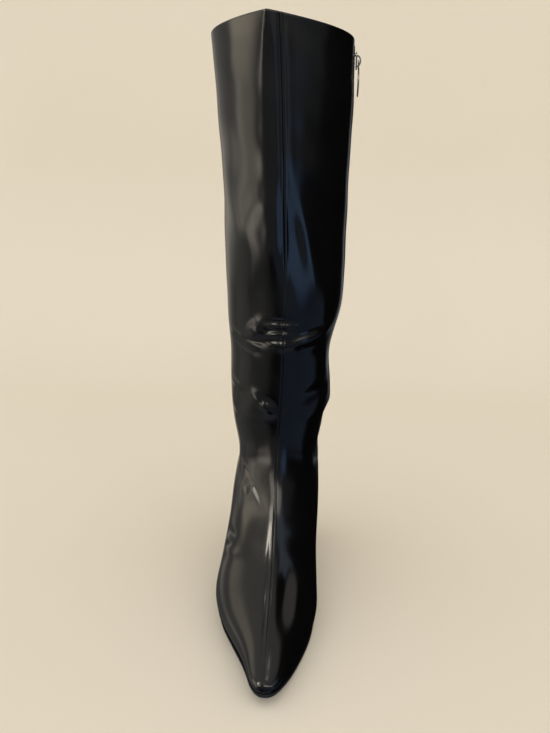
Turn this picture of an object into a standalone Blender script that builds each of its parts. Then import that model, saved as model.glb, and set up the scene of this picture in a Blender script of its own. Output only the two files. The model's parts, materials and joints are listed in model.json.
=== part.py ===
"""A tall heeled dress boot for the right foot, with a pointed toe and a zip on its inner side.

The toe points to -Y, the inner side of the foot is +X and +Z is up. The floor is Z = 0, and the
origin is the middle of the flat spot under the ball of the foot. Lengths are in metres.
"""
import math

import bmesh
import bpy
import numpy as np
from mathutils import Matrix, Vector

# Driving sizes.
LENGTH = 0.250            # toe tip to the back of the heel seat, seen from above
BALL_WIDTH = 0.092        # widest part of the foot
INSTEP_HEIGHT = 0.135     # floor to the throat, where foot and shaft meet in front
HEEL_HEIGHT = 0.075       # rise of the heel seat's back edge over the ball
BOOT_HEIGHT = 0.488       # floor to the front of the collar
COLLAR_WIDTH = 0.118      # side to side
WALL = 0.0018             # leather and lining together
GAP = 0.0003              # between pieces that touch

# The sole and the bed that the foot stands on. Runs are shares of LENGTH behind the toe tip.
SOLE_THICKNESS = 0.003
SOLE_EDGE = 1.01          # sole outline as a share of the upper's edge
TOE_SPRING = 0.008        # lift of the sole under the toe tip
TREAD_START = 0.33        # the flat spot under the ball starts and ends here
TREAD_END = 0.43
SEAT_SLOPE = 0.10         # rise over run at the back of the heel seat
INSOLE_THICKNESS = 0.002
INSOLE_FIT = 0.905        # insole outline as a share of the upper's edge
ORIGIN_RUN = (TREAD_START + TREAD_END) / 2

# The heel and its top piece.
BREAST_RUN = 0.77         # front face of the heel, under the seat
HEEL_TIP_START = 0.205    # front and back of the heel's foot, in metres behind the toe tip
HEEL_TIP_END = 0.239
HEEL_TIP_WIDTH = 0.030
HEEL_TAPER = 1.7          # how early the heel draws in on its way down
TIP_THICKNESS = 0.006

# The zip, which runs up the inner side in a slit of the upper. Shares go from the front line, 0,
# to the back, 1, round the inner side.
SLIT_WIDTH = 0.009
ZIP_START = 16.0          # section where the zip ends above the ankle
ZIP_LOW_SHARE = 0.52
ZIP_TOP_SHARE = 0.49
CHAIN_WIDTH = 0.005       # the closed teeth
CHAIN_STEP = 0.0002       # width of the step from tape to teeth
CHAIN_PROUD = 0.0006      # teeth over the leather's face
CHAIN_DEPTH = 0.0018
TAPE_FACE = -0.0004
TAPE_BACK = -0.0014
SLIDER_DROP = 0.0145      # collar edge to the middle of the slider
SLIDER_LENGTH = 0.013
SLIDER_WIDTH = 0.008
SLIDER_NARROW = 0.76      # width at its foot as a share of the width at its top
SLIDER_CHAMFER = 0.0015
SLIDER_GAP = 0.0005       # from its flat plates to the curved row of teeth
PLATE = 0.0012
SUNK = 0.0004             # how far the post stays below the plates' upper edge
POST_WIDTH = 0.0018
POST_LENGTH = 0.003
BRIDGE_WIDTH = 0.0022
BRIDGE_OUTER = (0.0046, 0.0035)   # half length and height of the arch outside
BRIDGE_INNER = (0.0034, 0.0024)
BRIDGE_ROOT = 0.0002      # how deep the arch is rooted in the plate
PULL_AXIS = 0.0035        # joint axis over the leather's face
PULL_THICKNESS = 0.0014
PULL_LENGTH = 0.027
PULL_WIDTH = 0.006
PULL_NECK = 0.0068        # below the axis, where the pull is narrowest
PULL_NECK_SPREAD = 0.0022
PULL_NECK_DEPTH = 0.0012
PULL_BELLY = 0.0006       # how much wider each side is at the middle of the drop
PULL_ROUND = 0.14         # share of the length that the round end takes
PULL_EDGE = 0.00025
EYE_WIDTH = 0.0032        # the opening that the bridge passes through
EYE_END = 0.0052
HOLE_WIDTH = 0.0032       # the long hole in the drop
HOLE_START = 0.0105
HOLE_END = 0.0235

# Half widths of the edge where upper and sole meet, as shares of BALL_WIDTH.
FEATHER_COLUMNS = ("run", "outer", "inner")
FEATHER_LINE = (
    (0.000, 0.000, 0.000),
    (0.010, 0.068, 0.074),
    (0.040, 0.124, 0.136),
    (0.090, 0.178, 0.198),
    (0.160, 0.272, 0.262),
    (0.250, 0.408, 0.326),
    (0.350, 0.525, 0.362),
    (0.450, 0.525, 0.352),
    (0.560, 0.450, 0.292),
    (0.680, 0.370, 0.250),
    (0.800, 0.345, 0.260),
    (0.900, 0.325, 0.255),
    (0.965, 0.235, 0.190),
    (1.000, 0.000, 0.000),
)

# Sections of the foot, toe to throat. Each is an arch that stands on the feather line at run
# "bottom" and reaches its front line at run "top", "rise" of INSTEP_HEIGHT up. "outer" and
# "inner" are its half widths and "shift" the side shift of its front line, as shares of
# BALL_WIDTH. "fullest" is how far up it is widest, and "crown" how round its top is: 2 is an
# ellipse and less is more pointed.
FOOT_COLUMNS = ("bottom", "top", "rise", "outer", "inner", "fullest", "crown", "shift")
FOOT_SECTIONS = (
    (0.000, 0.000, 0.085, 0.000, 0.000, 0.45, 1.90, 0.000),
    (0.006, 0.004, 0.118, 0.056, 0.062, 0.45, 1.90, 0.000),
    (0.024, 0.020, 0.140, 0.104, 0.116, 0.42, 1.90, -0.002),
    (0.056, 0.052, 0.163, 0.150, 0.166, 0.40, 1.85, -0.006),
    (0.108, 0.104, 0.201, 0.212, 0.220, 0.36, 1.80, -0.012),
    (0.176, 0.172, 0.244, 0.315, 0.280, 0.34, 1.75, -0.018),
    (0.256, 0.248, 0.296, 0.447, 0.345, 0.33, 1.70, -0.025),
    (0.340, 0.328, 0.363, 0.548, 0.392, 0.33, 1.70, -0.030),
    (0.424, 0.400, 0.444, 0.582, 0.402, 0.34, 1.70, -0.035),
    (0.516, 0.460, 0.541, 0.568, 0.388, 0.36, 1.70, -0.038),
    (0.612, 0.506, 0.637, 0.545, 0.378, 0.40, 1.75, -0.038),
    (0.708, 0.540, 0.726, 0.528, 0.384, 0.44, 1.80, -0.042),
    (0.800, 0.562, 0.800, 0.520, 0.388, 0.47, 1.85, -0.044),
    (0.884, 0.576, 0.867, 0.510, 0.388, 0.48, 1.85, -0.043),
    (0.956, 0.585, 0.926, 0.502, 0.382, 0.49, 1.85, -0.041),
    (1.000, 0.590, 0.981, 0.495, 0.374, 0.50, 1.85, -0.040),
)

# Sections of the shaft, throat to collar: closed rings from run "back", "back_rise" of
# BOOT_HEIGHT up, to run "front". Widths are shares of COLLAR_WIDTH, and the lifts raise the
# ring's outer and inner side by shares of BOOT_HEIGHT. Towards the collar the front line is a
# pressed edge, which shifts to the outer side.
SHAFT_COLUMNS = ("back", "front", "back_rise", "front_rise", "outer", "inner", "fullest",
                 "crown", "shift", "outer_lift", "inner_lift")
SHAFT_SECTIONS = (
    (1.008, 0.592, 0.207, 0.291, 0.385, 0.288, 0.51, 1.85, -0.030, 0.000, 0.000),
    (0.996, 0.590, 0.262, 0.320, 0.410, 0.305, 0.52, 1.85, -0.024, 0.000, 0.000),
    (0.984, 0.584, 0.320, 0.359, 0.436, 0.347, 0.52, 1.85, -0.014, 0.000, 0.000),
    (0.984, 0.574, 0.383, 0.406, 0.450, 0.360, 0.52, 1.85, 0.000, 0.000, 0.000),
    (0.996, 0.562, 0.457, 0.463, 0.448, 0.342, 0.52, 1.85, 0.010, 0.000, 0.000),
    (1.012, 0.548, 0.541, 0.541, 0.472, 0.415, 0.53, 1.76, 0.020, 0.000, 0.000),
    (1.026, 0.536, 0.645, 0.645, 0.432, 0.478, 0.545, 1.58, -0.056, 0.000, 0.000),
    (1.036, 0.528, 0.762, 0.762, 0.415, 0.496, 0.565, 1.40, -0.078, 0.000, 0.000),
    (1.040, 0.524, 0.885, 0.885, 0.429, 0.523, 0.58, 1.24, -0.102, 0.000, 0.000),
    (1.040, 0.522, 0.990, 1.000, 0.469, 0.519, 0.585, 1.02, -0.090, 0.000, -0.010),
)
HEEL_SECTION = len(FOOT_SECTIONS) - 1           # the last arch, which closes at the heel's back
COLLAR_SECTION = HEEL_SECTION + len(SHAFT_SECTIONS)
ARC_SAMPLES = 48                                # points that measure a quarter of a section

# How finely the faceted solids follow the forms.
UPPER_COLUMNS = (14, 6, 8)                      # outer side, inner side before and behind the zip
ROWS_A_SECTION = 2
ARCH_SECTIONS = (8, 15)                         # between these the bed bends most
ARCH_ROWS_A_SECTION = 4
SOLE_ROWS = 52
SOLE_COLUMNS = 7
HEEL_ROWS = 14
HEEL_LAYERS = 8


def smooth(rows, at):
    """Natural cubic spline through the rows, which stand at 0, 1, 2 and so on, read at "at"."""
    rows = np.asarray(rows, float)
    count = len(rows)
    system = np.eye(count)
    pull = np.zeros_like(rows)
    for i in range(1, count - 1):
        system[i, i - 1:i + 2] = 1, 4, 1
        pull[i] = 6 * (rows[i + 1] - 2 * rows[i] + rows[i - 1])
    bend = np.linalg.solve(system, pull)
    i = np.clip(np.floor(at).astype(int), 0, count - 2)
    u = (at - i)[:, None]
    line = rows[i] * (1 - u) + rows[i + 1] * u
    return line + (((1 - u)**3 - (1 - u)) * bend[i] + (u**3 - u) * bend[i + 1]) / 6


def bed_height(run):
    """Height of the bed's face: toe spring, then flat at the ball, then a smooth rise to the seat."""
    spring = TOE_SPRING * np.clip(1 - run / TREAD_START, 0, 1)**2
    span = 1 - TREAD_END
    x = np.clip((run - TREAD_END) / span, 0, 1)
    rise = HEEL_HEIGHT * (3 * x**2 - 2 * x**3)
    return SOLE_THICKNESS + spring + rise + SEAT_SLOPE * span * LENGTH * (x**3 - x**2)


def bed_normal(run):
    """Unit normal of the bed's face, as its Y and Z."""
    step = 0.001
    slope = (bed_height(run + step) - bed_height(run - step)) / (2 * step * LENGTH)
    slope = np.where(run > 1 - step, SEAT_SLOPE, slope)
    size = np.sqrt(1 + slope**2)
    return -slope / size, 1 / size


def columns(names, table):
    """The columns of a table by name."""
    return dict(zip(names, np.array(table).T))


def feather_half_widths(run):
    """Outer and inner half width at a run. The spline is laid over the angle of a half circle,
    so that the outline is round at toe and heel."""
    line = columns(FEATHER_COLUMNS, FEATHER_LINE)
    angle = np.arccos(1 - 2 * line["run"])
    at = np.interp(np.arccos(1 - 2 * np.clip(run, 0, 1)), angle, np.arange(len(angle)))
    widths = smooth(np.column_stack((line["outer"], line["inner"])), at)
    return np.maximum(widths, 0).T * BALL_WIDTH


def section_rows():
    """Every section in metres: bottom, its height, top, its height, outer, inner, fullest, crown,
    shift, outer lift and inner lift."""
    foot = columns(FOOT_COLUMNS, FOOT_SECTIONS)
    none = np.zeros(len(FOOT_SECTIONS))
    arches = (foot["bottom"] * LENGTH, bed_height(foot["bottom"]),
              foot["top"] * LENGTH, foot["rise"] * INSTEP_HEIGHT,
              foot["outer"] * BALL_WIDTH, foot["inner"] * BALL_WIDTH,
              foot["fullest"], foot["crown"], foot["shift"] * BALL_WIDTH, none, none)
    shaft = columns(SHAFT_COLUMNS, SHAFT_SECTIONS)
    rings = (shaft["back"] * LENGTH, shaft["back_rise"] * BOOT_HEIGHT,
             shaft["front"] * LENGTH, shaft["front_rise"] * BOOT_HEIGHT,
             shaft["outer"] * COLLAR_WIDTH, shaft["inner"] * COLLAR_WIDTH,
             shaft["fullest"], shaft["crown"], shaft["shift"] * COLLAR_WIDTH,
             shaft["outer_lift"] * BOOT_HEIGHT, shaft["inner_lift"] * BOOT_HEIGHT)
    rows = np.vstack((np.array(arches).T, np.array(rings).T))
    rows[0, 3] = rows[0, 1]
    return rows


def sections_at(at):
    """The sections between the rows. The bottom slows to a stop at the heel's back edge, where it
    turns from the seat up the back, so that the turn leaves no crease in the sides."""
    table = section_rows()
    rows = smooth(table, at)
    off = np.clip(at - HEEL_SECTION, -1, 1)
    slowed = at - off + np.sign(off) * (2 * off**2 - np.abs(off)**3)
    rows[:, :2] = smooth(table[:, :2], slowed)
    foot = at < HEEL_SECTION
    rows[foot, 1] = bed_height(rows[foot, 0] / LENGTH)
    return rows


def half_section(row, feather, side):
    """One side of a section as points from its top to its bottom, and the length up to each.
    The upper part is a superellipse, and the lower part an ellipse cut off at the feather line."""
    bottom, low, top, high, outer, inner, fullest, crown, shift, outer_lift, inner_lift = row
    half, lift = (inner, inner_lift) if side > 0 else (outer, outer_lift)
    turn = np.linspace(math.pi / 2, 0, ARC_SAMPLES)
    up = fullest + (1 - fullest) * np.sin(turn)
    wide = np.cos(turn)**(2 / crown)
    last = math.acos(min(feather / half, 0.985)) if half > 0 else 1.0
    turn = np.linspace(0, last, ARC_SAMPLES)[1:]
    up = np.append(up, fullest * (1 - np.sin(turn) / math.sin(last)))
    wide = np.append(wide, np.cos(turn))
    x = side * half * wide + shift * up
    y = bottom + up * (top - bottom)
    z = low + up * (high - low) + lift * wide
    points = np.column_stack((x, y, z))
    steps = np.linalg.norm(np.diff(points, axis=0), axis=1)
    return points, np.append(0, np.cumsum(steps))


def skin(at, share):
    """Points of the upper's outer face. "at" counts sections from toe to collar, one a row, and
    each row of "share" goes round it by length: -1 is the outer edge or the back, 0 the front
    line and 1 the inner edge or the back."""
    rows = sections_at(at)
    feather = feather_half_widths(np.where(at < HEEL_SECTION, rows[:, 0] / LENGTH, 1))
    points = np.zeros(share.shape + (3,))
    for i, row in enumerate(rows):
        for side, reach in ((-1, feather[0, i]), (1, feather[1, i])):
            half, length = half_section(row, reach, side)
            here = share[i] * side >= 0
            where = np.abs(share[i][here]) * length[-1]
            points[i, here] = np.column_stack([np.interp(where, length, line) for line in half.T])
    points[..., 1] -= ORIGIN_RUN * LENGTH
    return points


def skin_normals(at, share):
    """Unit normals of the outer face, from the differences of near points."""
    step = 0.01
    up = skin(np.minimum(at + step, COLLAR_SECTION), share) - skin(np.maximum(at - step, 0), share)
    round_it = skin(at, np.minimum(share + step, 1)) - skin(at, np.maximum(share - step, -1))
    normals = np.cross(round_it, up)
    size = np.linalg.norm(normals, axis=-1, keepdims=True)
    normals = normals / np.maximum(size, 1e-12)
    closed = at >= HEEL_SECTION
    back = normals[closed, 0] + normals[closed, -1]
    normals[closed, 0] = normals[closed, -1] = back / np.linalg.norm(back, axis=-1, keepdims=True)
    return normals


def inner_length(at):
    """Length round the inner side, from the front line to the back."""
    return np.array([half_section(row, 0, 1)[1][-1] for row in sections_at(at)])


def zip_share(at, across):
    """Share of a point "across" metres behind the zip's middle line. Below the zip the share
    keeps the same spread."""
    rise = np.clip((at - ZIP_START) / (COLLAR_SECTION - ZIP_START), 0, 1)
    middle = ZIP_LOW_SHARE + rise * (ZIP_TOP_SHARE - ZIP_LOW_SHARE)
    length = inner_length(np.clip(at, ZIP_START, COLLAR_SECTION))
    return middle + across / length


def zip_points(at, across, out):
    """Points near the zip's line, "across" metres behind it and "out" metres off the leather."""
    share = np.column_stack([zip_share(at, distance) for distance in across])
    normals = skin_normals(at, share)
    return skin(at, share) + np.asarray(out)[None, :, None] * normals


def section_below_collar(drop):
    """The section where the zip's line is "drop" metres below the collar."""
    at = np.linspace(COLLAR_SECTION - 1, COLLAR_SECTION, 200)
    line = zip_points(at, (0,), (0,))[:, 0]
    below = np.append(np.cumsum(np.linalg.norm(np.diff(line, axis=0), axis=1)[::-1])[::-1], 0)
    return float(np.interp(-drop, -below, at))


SLIDER_SECTION = section_below_collar(SLIDER_DROP)
POST_SECTION = section_below_collar(SLIDER_DROP - SLIDER_LENGTH / 2 + POST_LENGTH + SLIDER_GAP)
CHAIN_TOP = section_below_collar(0.001)
CHAIN_START = ZIP_START + 0.03


def upper_rows():
    """Where the upper has a row of facets: even steps, which are closer over the arch."""
    even = np.arange(0, COLLAR_SECTION * ROWS_A_SECTION + 1) / ROWS_A_SECTION
    first, last = ARCH_SECTIONS
    arch = first + np.arange((last - first) * ARCH_ROWS_A_SECTION + 1) / ARCH_ROWS_A_SECTION
    return np.unique(np.concatenate((even, arch)))


def principled(name, colour, roughness, metallic=0.0):
    """A plain finish for one piece."""
    material = bpy.data.materials.new(name)
    material.use_nodes = True
    shader = material.node_tree.nodes["Principled BSDF"]
    shader.inputs["Base Color"].default_value = (*colour, 1)
    shader.inputs["Roughness"].default_value = roughness
    shader.inputs["Metallic"].default_value = metallic
    material.diffuse_color = (*colour, 1)
    return material


def add_piece(name, bm, material, frame=None):
    """Make an object of a closed mesh, with its faces turned outwards."""
    bmesh.ops.recalc_face_normals(bm, faces=bm.faces)
    if bm.calc_volume(signed=True) < 0:
        bmesh.ops.reverse_faces(bm, faces=bm.faces)
    mesh = bpy.data.meshes.new(name)
    bm.to_mesh(mesh)
    bm.free()
    mesh.shade_smooth()
    mesh.set_sharp_from_angle(angle=math.radians(40))
    mesh.materials.append(material)
    piece = bpy.data.objects.new(name, mesh)
    if frame is not None:
        piece.matrix_world = frame
    bpy.context.collection.objects.link(piece)
    return piece


def layered_block(layers, keep=None):
    """Close a stack of point grids into one body. The first and last grid give its two faces, and
    all of them its sides, which follow the border of the cells in "keep". Points that are the
    same in the first grid are one point."""
    first = layers[0]
    rows, columns = first.shape[:2]
    flat = np.round(first.reshape(-1, 3), 7)
    _, source, ids = np.unique(flat, axis=0, return_index=True, return_inverse=True)
    ids = ids.reshape(rows, columns)
    bm = bmesh.new()
    verts = [[bm.verts.new(point) for point in grid.reshape(-1, 3)[source]] for grid in layers]
    border = {}
    for i in range(rows - 1):
        for j in range(columns - 1):
            ring = (ids[i, j], ids[i, j + 1], ids[i + 1, j + 1], ids[i + 1, j])
            ring = [a for a, b in zip(ring, ring[1:] + ring[:1]) if a != b]
            if len(ring) < 3 or (keep is not None and not keep[i, j]):
                continue
            bm.faces.new([verts[0][k] for k in ring])
            bm.faces.new([verts[-1][k] for k in reversed(ring)])
            for a, b in zip(ring, ring[1:] + ring[:1]):
                if (b, a) in border:
                    del border[b, a]
                else:
                    border[a, b] = True
    for a, b in border:
        for upper, lower in zip(verts, verts[1:]):
            bm.faces.new((upper[b], upper[a], lower[a], lower[b]))
    loose = [vert for vert in bm.verts if not vert.link_faces]
    bmesh.ops.delete(bm, geom=loose, context="VERTS")
    return bm


def make_upper():
    """The upper: one wall from toe to collar, open at the collar, underneath and along the zip."""
    at = upper_rows()
    before, front, behind = UPPER_COLUMNS
    edges = (zip_share(at, -SLIT_WIDTH / 2), zip_share(at, SLIT_WIDTH / 2))
    outer = np.tile(np.linspace(-1, 0, before + 1)[:-1], (len(at), 1))
    share = np.hstack((outer,
                       edges[0][:, None] * np.linspace(0, 1, front + 1),
                       edges[1][:, None] + (1 - edges[1][:, None]) * np.linspace(0, 1, behind + 1)))
    face = skin(at, share)
    closed = at >= HEEL_SECTION
    face[closed, -1] = face[closed, 0]
    normals = skin_normals(at, share)
    normals[0] = 0, -1, 0
    normals[at == HEEL_SECTION, (0, -1)] = 0, 1, 0
    lean_y, lean_z = bed_normal(sections_at(at)[:, 0] / LENGTH)
    bed = np.column_stack((np.zeros(len(at)), lean_y, lean_z))
    stands = at <= HEEL_SECTION
    for column in (0, -1):
        flat = normals[:, column] - np.sum(normals[:, column] * bed, axis=1)[:, None] * bed
        flat /= np.linalg.norm(flat, axis=1)[:, None]
        normals[stands, column] = flat[stands]
    normals[0] = normals[0, 0]
    keep = np.ones((len(at) - 1, share.shape[1] - 1), bool)
    keep[at[:-1] >= ZIP_START, before + front] = False
    bm = layered_block((face, face - WALL * normals), keep)
    return add_piece("upper", bm, principled("black_leather", (0.012, 0.012, 0.014), 0.25))


def plan_grid(rows, columns, start=0.0):
    """Runs and cross shares for a grid inside the outline, closer together at its round ends."""
    first = math.acos(1 - 2 * start)
    run = (1 - np.cos(np.linspace(first, math.pi, rows))) / 2
    flat_spot = [TREAD_START, TREAD_END] if start < TREAD_START else []
    return np.unique(np.concatenate((run, flat_spot))), np.linspace(0, 1, columns)


def bed_sheet(run, cross, fit, height):
    """Points "height" metres over the bed, inside the outline scaled by "fit" about its middle."""
    outer, inner = feather_half_widths(run) * fit
    middle = 0.5 + (run - 0.5) * (1 + (fit - 1) / 3)
    lean_y, lean_z = bed_normal(middle)
    x = -outer[:, None] + (outer + inner)[:, None] * cross
    y = (middle - ORIGIN_RUN) * LENGTH + height * lean_y
    z = bed_height(middle) + height * lean_z
    wide = np.ones_like(x)
    return np.stack((x, y[:, None] * wide, z[:, None] * wide), axis=-1)


def make_outsole():
    """The outsole: one thin sheet under the whole foot, with the flat spot under the ball."""
    run, cross = plan_grid(SOLE_ROWS, SOLE_COLUMNS)
    bm = layered_block((bed_sheet(run, cross, SOLE_EDGE, -GAP),
                        bed_sheet(run, cross, SOLE_EDGE, -SOLE_THICKNESS)))
    return add_piece("outsole", bm, principled("sole_rubber", (0.02, 0.02, 0.02), 0.6))


def make_insole():
    """The insole: the board and sock that lie on the bed inside the upper."""
    run, cross = plan_grid(SOLE_ROWS, SOLE_COLUMNS)
    bm = layered_block((bed_sheet(run, cross, INSOLE_FIT, INSOLE_THICKNESS),
                        bed_sheet(run, cross, INSOLE_FIT, 0)))
    return add_piece("insole", bm, principled("insole_sock", (0.05, 0.045, 0.04), 0.8))


def heel_foot(run, cross, height):
    """The heel's D-shaped outline at its foot, on the same grid as under the seat."""
    outer, inner = feather_half_widths(run)
    widest = np.max(outer + inner)
    x = (cross[None, :] - 0.5) * ((outer + inner) / widest)[:, None] * HEEL_TIP_WIDTH
    depth = (run - run[0]) / (run[-1] - run[0])
    y = HEEL_TIP_START + depth * (HEEL_TIP_END - HEEL_TIP_START) - ORIGIN_RUN * LENGTH
    wide = np.ones_like(x)
    return np.stack((x, y[:, None] * wide, height * wide), axis=-1)


def make_heel():
    """The covered heel, which draws in from the seat to its foot, and the top piece under it."""
    run, cross = plan_grid(HEEL_ROWS, SOLE_COLUMNS, BREAST_RUN)
    seat = bed_sheet(run, cross, 1, -SOLE_THICKNESS - GAP)
    foot = heel_foot(run, cross, TIP_THICKNESS + GAP)
    layers = []
    for down in np.linspace(0, 1, HEEL_LAYERS):
        drawn_in = 1 - (1 - down)**HEEL_TAPER
        grid = seat + (foot - seat) * drawn_in
        grid[..., 2] = seat[..., 2] + (foot[..., 2] - seat[..., 2]) * down
        layers.append(grid)
    cover = principled("heel_cover", (0.012, 0.012, 0.014), 0.3)
    rubber = principled("top_piece_rubber", (0.02, 0.02, 0.02), 0.6)
    tip = layered_block((heel_foot(run, cross, TIP_THICKNESS), heel_foot(run, cross, 0)))
    return add_piece("heel", layered_block(layers), cover), add_piece("heel_tip", tip, rubber)


def make_zip_chain():
    """The zip's two tapes and closed teeth as one strip, parted above the slider's post."""
    tape, teeth, post = SLIT_WIDTH / 2 - GAP, CHAIN_WIDTH / 2, POST_WIDTH / 2 + GAP
    across = (-tape, -teeth - CHAIN_STEP, -teeth, -post, post, teeth, teeth + CHAIN_STEP, tape)
    face = (TAPE_FACE, TAPE_FACE) + (CHAIN_PROUD,) * 4 + (TAPE_FACE, TAPE_FACE)
    back = (TAPE_BACK, TAPE_BACK) + (-CHAIN_DEPTH,) * 4 + (TAPE_BACK, TAPE_BACK)
    at = upper_rows()
    between = at[(at > CHAIN_START) & (at < CHAIN_TOP)]
    at = np.unique(np.concatenate(((CHAIN_START, POST_SECTION, CHAIN_TOP), between)))
    keep = np.ones((len(at) - 1, len(across) - 1), bool)
    keep[at[:-1] >= POST_SECTION, across.index(-post)] = False
    bm = layered_block((zip_points(at, across, face), zip_points(at, across, back)), keep)
    return add_piece("zip_chain", bm, principled("zip_teeth", (0.03, 0.03, 0.035), 0.4))


def slider_frame():
    """Where the slider sits: X runs across the zip, Y out of the leather and Z up the zip."""
    at = np.array((SLIDER_SECTION - 0.05, SLIDER_SECTION, SLIDER_SECTION + 0.05))
    line = zip_points(at, (0,), (0,))[:, 0]
    up = Vector(line[2] - line[0]).normalized()
    normal = Vector(skin_normals(at, zip_share(at, 0)[:, None])[1, 0])
    level = normal.cross(up).normalized()
    turn = Matrix((level, up.cross(level), up)).transposed().to_4x4()
    return Matrix.Translation(Vector(line[1])) @ turn


def prism(outline, low, high):
    """A straight prism with its outline in X and Z, from Y = low to Y = high."""
    bm = bmesh.new()
    near = bm.faces.new([bm.verts.new((x, low, z)) for x, z in outline])
    grown = bmesh.ops.extrude_face_region(bm, geom=[near])
    moved = [item for item in grown["geom"] if isinstance(item, bmesh.types.BMVert)]
    bmesh.ops.translate(bm, vec=(0, high - low, 0), verts=moved)
    return bm


def side_prism(outline, width):
    """A straight prism with its outline in Y and Z, centred across X."""
    bm = bmesh.new()
    near = bm.faces.new([bm.verts.new((-width / 2, y, z)) for y, z in outline])
    grown = bmesh.ops.extrude_face_region(bm, geom=[near])
    moved = [item for item in grown["geom"] if isinstance(item, bmesh.types.BMVert)]
    bmesh.ops.translate(bm, vec=(width, 0, 0), verts=moved)
    return bm


def cut_or_join(piece, bm, operation):
    """Join a closed mesh to a piece, or cut it out, with both in the piece's own frame."""
    tool = add_piece(f"{piece.name}_tool", bm, piece.data.materials[0], piece.matrix_world)
    tool.hide_render = True
    tool.display_type = "WIRE"
    change = piece.modifiers.new(operation.lower(), "BOOLEAN")
    change.operation = operation
    change.object = tool
    change.solver = "EXACT"


def rectangle(half, top, bottom):
    """A rectangle's outline between two heights."""
    return [(-half, top), (-half, bottom), (half, bottom), (half, top)]


def make_slider(frame):
    """The slider: a plate before and one behind the teeth, the post between, and the bridge."""
    top, bottom = SLIDER_LENGTH / 2, -SLIDER_LENGTH / 2
    wide, narrow, cut = SLIDER_WIDTH / 2, SLIDER_NARROW * SLIDER_WIDTH / 2, SLIDER_CHAMFER
    right = [(narrow - cut, bottom), (narrow, bottom + cut), (wide, 0), (wide, top - cut),
             (wide - cut, top)]
    shield = right + [(-x, z) for x, z in reversed(right)]
    face, back = CHAIN_PROUD + SLIDER_GAP, -CHAIN_DEPTH - SLIDER_GAP
    metal = principled("zip_metal", (0.5, 0.5, 0.52), 0.3, 1.0)
    slider = add_piece("zip_slider", prism(shield, face, face + PLATE), metal, frame)
    cut_or_join(slider, prism(shield, back - PLATE, back), "UNION")
    stem = rectangle(POST_WIDTH / 2, top - SUNK, top - POST_LENGTH)
    cut_or_join(slider, prism(stem, back - PLATE / 2, face + PLATE / 2), "UNION")
    turn = np.linspace(0, math.pi, 13)
    base = face + PLATE - BRIDGE_ROOT
    arch = [(base + BRIDGE_OUTER[1] * math.sin(a), BRIDGE_OUTER[0] * math.cos(a)) for a in turn]
    arch += [(base + BRIDGE_INNER[1] * math.sin(a), BRIDGE_INNER[0] * math.cos(a)) for a in turn[::-1]]
    cut_or_join(slider, side_prism(arch, BRIDGE_WIDTH), "UNION")
    return slider


def rounded(half, top, bottom, points=8):
    """A slot outline with half-round ends between two heights."""
    turn = np.linspace(0, math.pi, points)
    upper = [(half * math.cos(a), top - half + half * math.sin(a)) for a in turn]
    return upper + [(-half * math.cos(a), bottom + half - half * math.sin(a)) for a in turn]


def make_pull(frame):
    """The pull tab, a drop-shaped ring that hangs from the bridge on the joint's axis."""
    hinge = bpy.data.objects.new("pull_hinge", None)
    level = (frame.to_3x3() @ Vector((1, 0, 0))).normalized()
    out = Vector((0, 0, 1)).cross(level).normalized()
    turn = Matrix((level, out, level.cross(out))).transposed().to_4x4()
    hinge.matrix_world = Matrix.Translation(frame @ Vector((0, PULL_AXIS, 0))) @ turn
    bpy.context.collection.objects.link(hinge)
    down = np.linspace(0, 1, 25)
    bar = PULL_THICKNESS / 2
    height = bar - (PULL_LENGTH + bar) * down
    neck = np.exp(-((height + PULL_NECK) / PULL_NECK_SPREAD)**2)
    belly = np.sin(math.pi * np.clip((-height - PULL_NECK) / (PULL_LENGTH - PULL_NECK), 0, 1))
    round_end = np.clip((down - 1 + PULL_ROUND) / PULL_ROUND, 0, 0.99)
    half = PULL_WIDTH / 2 - PULL_NECK_DEPTH * neck + PULL_BELLY * belly
    half = half * np.sqrt(1 - round_end**2)
    outline = list(zip(-half, height)) + list(zip(half[::-1], height[::-1]))
    metal = principled("pull_metal", (0.45, 0.45, 0.47), 0.3, 1.0)
    pull = add_piece("zip_pull", prism(outline, -bar, bar), metal)
    pull.parent = hinge
    bpy.context.view_layer.update()
    eye = rectangle(EYE_WIDTH / 2, -bar, -EYE_END)
    cut_or_join(pull, prism(eye, -2 * bar, 2 * bar), "DIFFERENCE")
    hole = rounded(HOLE_WIDTH / 2, -HOLE_START, -HOLE_END)
    cut_or_join(pull, prism(hole, -2 * bar, 2 * bar), "DIFFERENCE")
    edge = pull.modifiers.new("edge", "BEVEL")
    edge.width = PULL_EDGE
    edge.segments = 1
    edge.limit_method = "ANGLE"
    return pull


for old in list(bpy.data.objects):
    bpy.data.objects.remove(old, do_unlink=True)
make_upper()
make_insole()
make_outsole()
make_heel()
make_zip_chain()
slider_place = slider_frame()
make_slider(slider_place)
make_pull(slider_place)
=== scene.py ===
import json
import math

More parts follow.
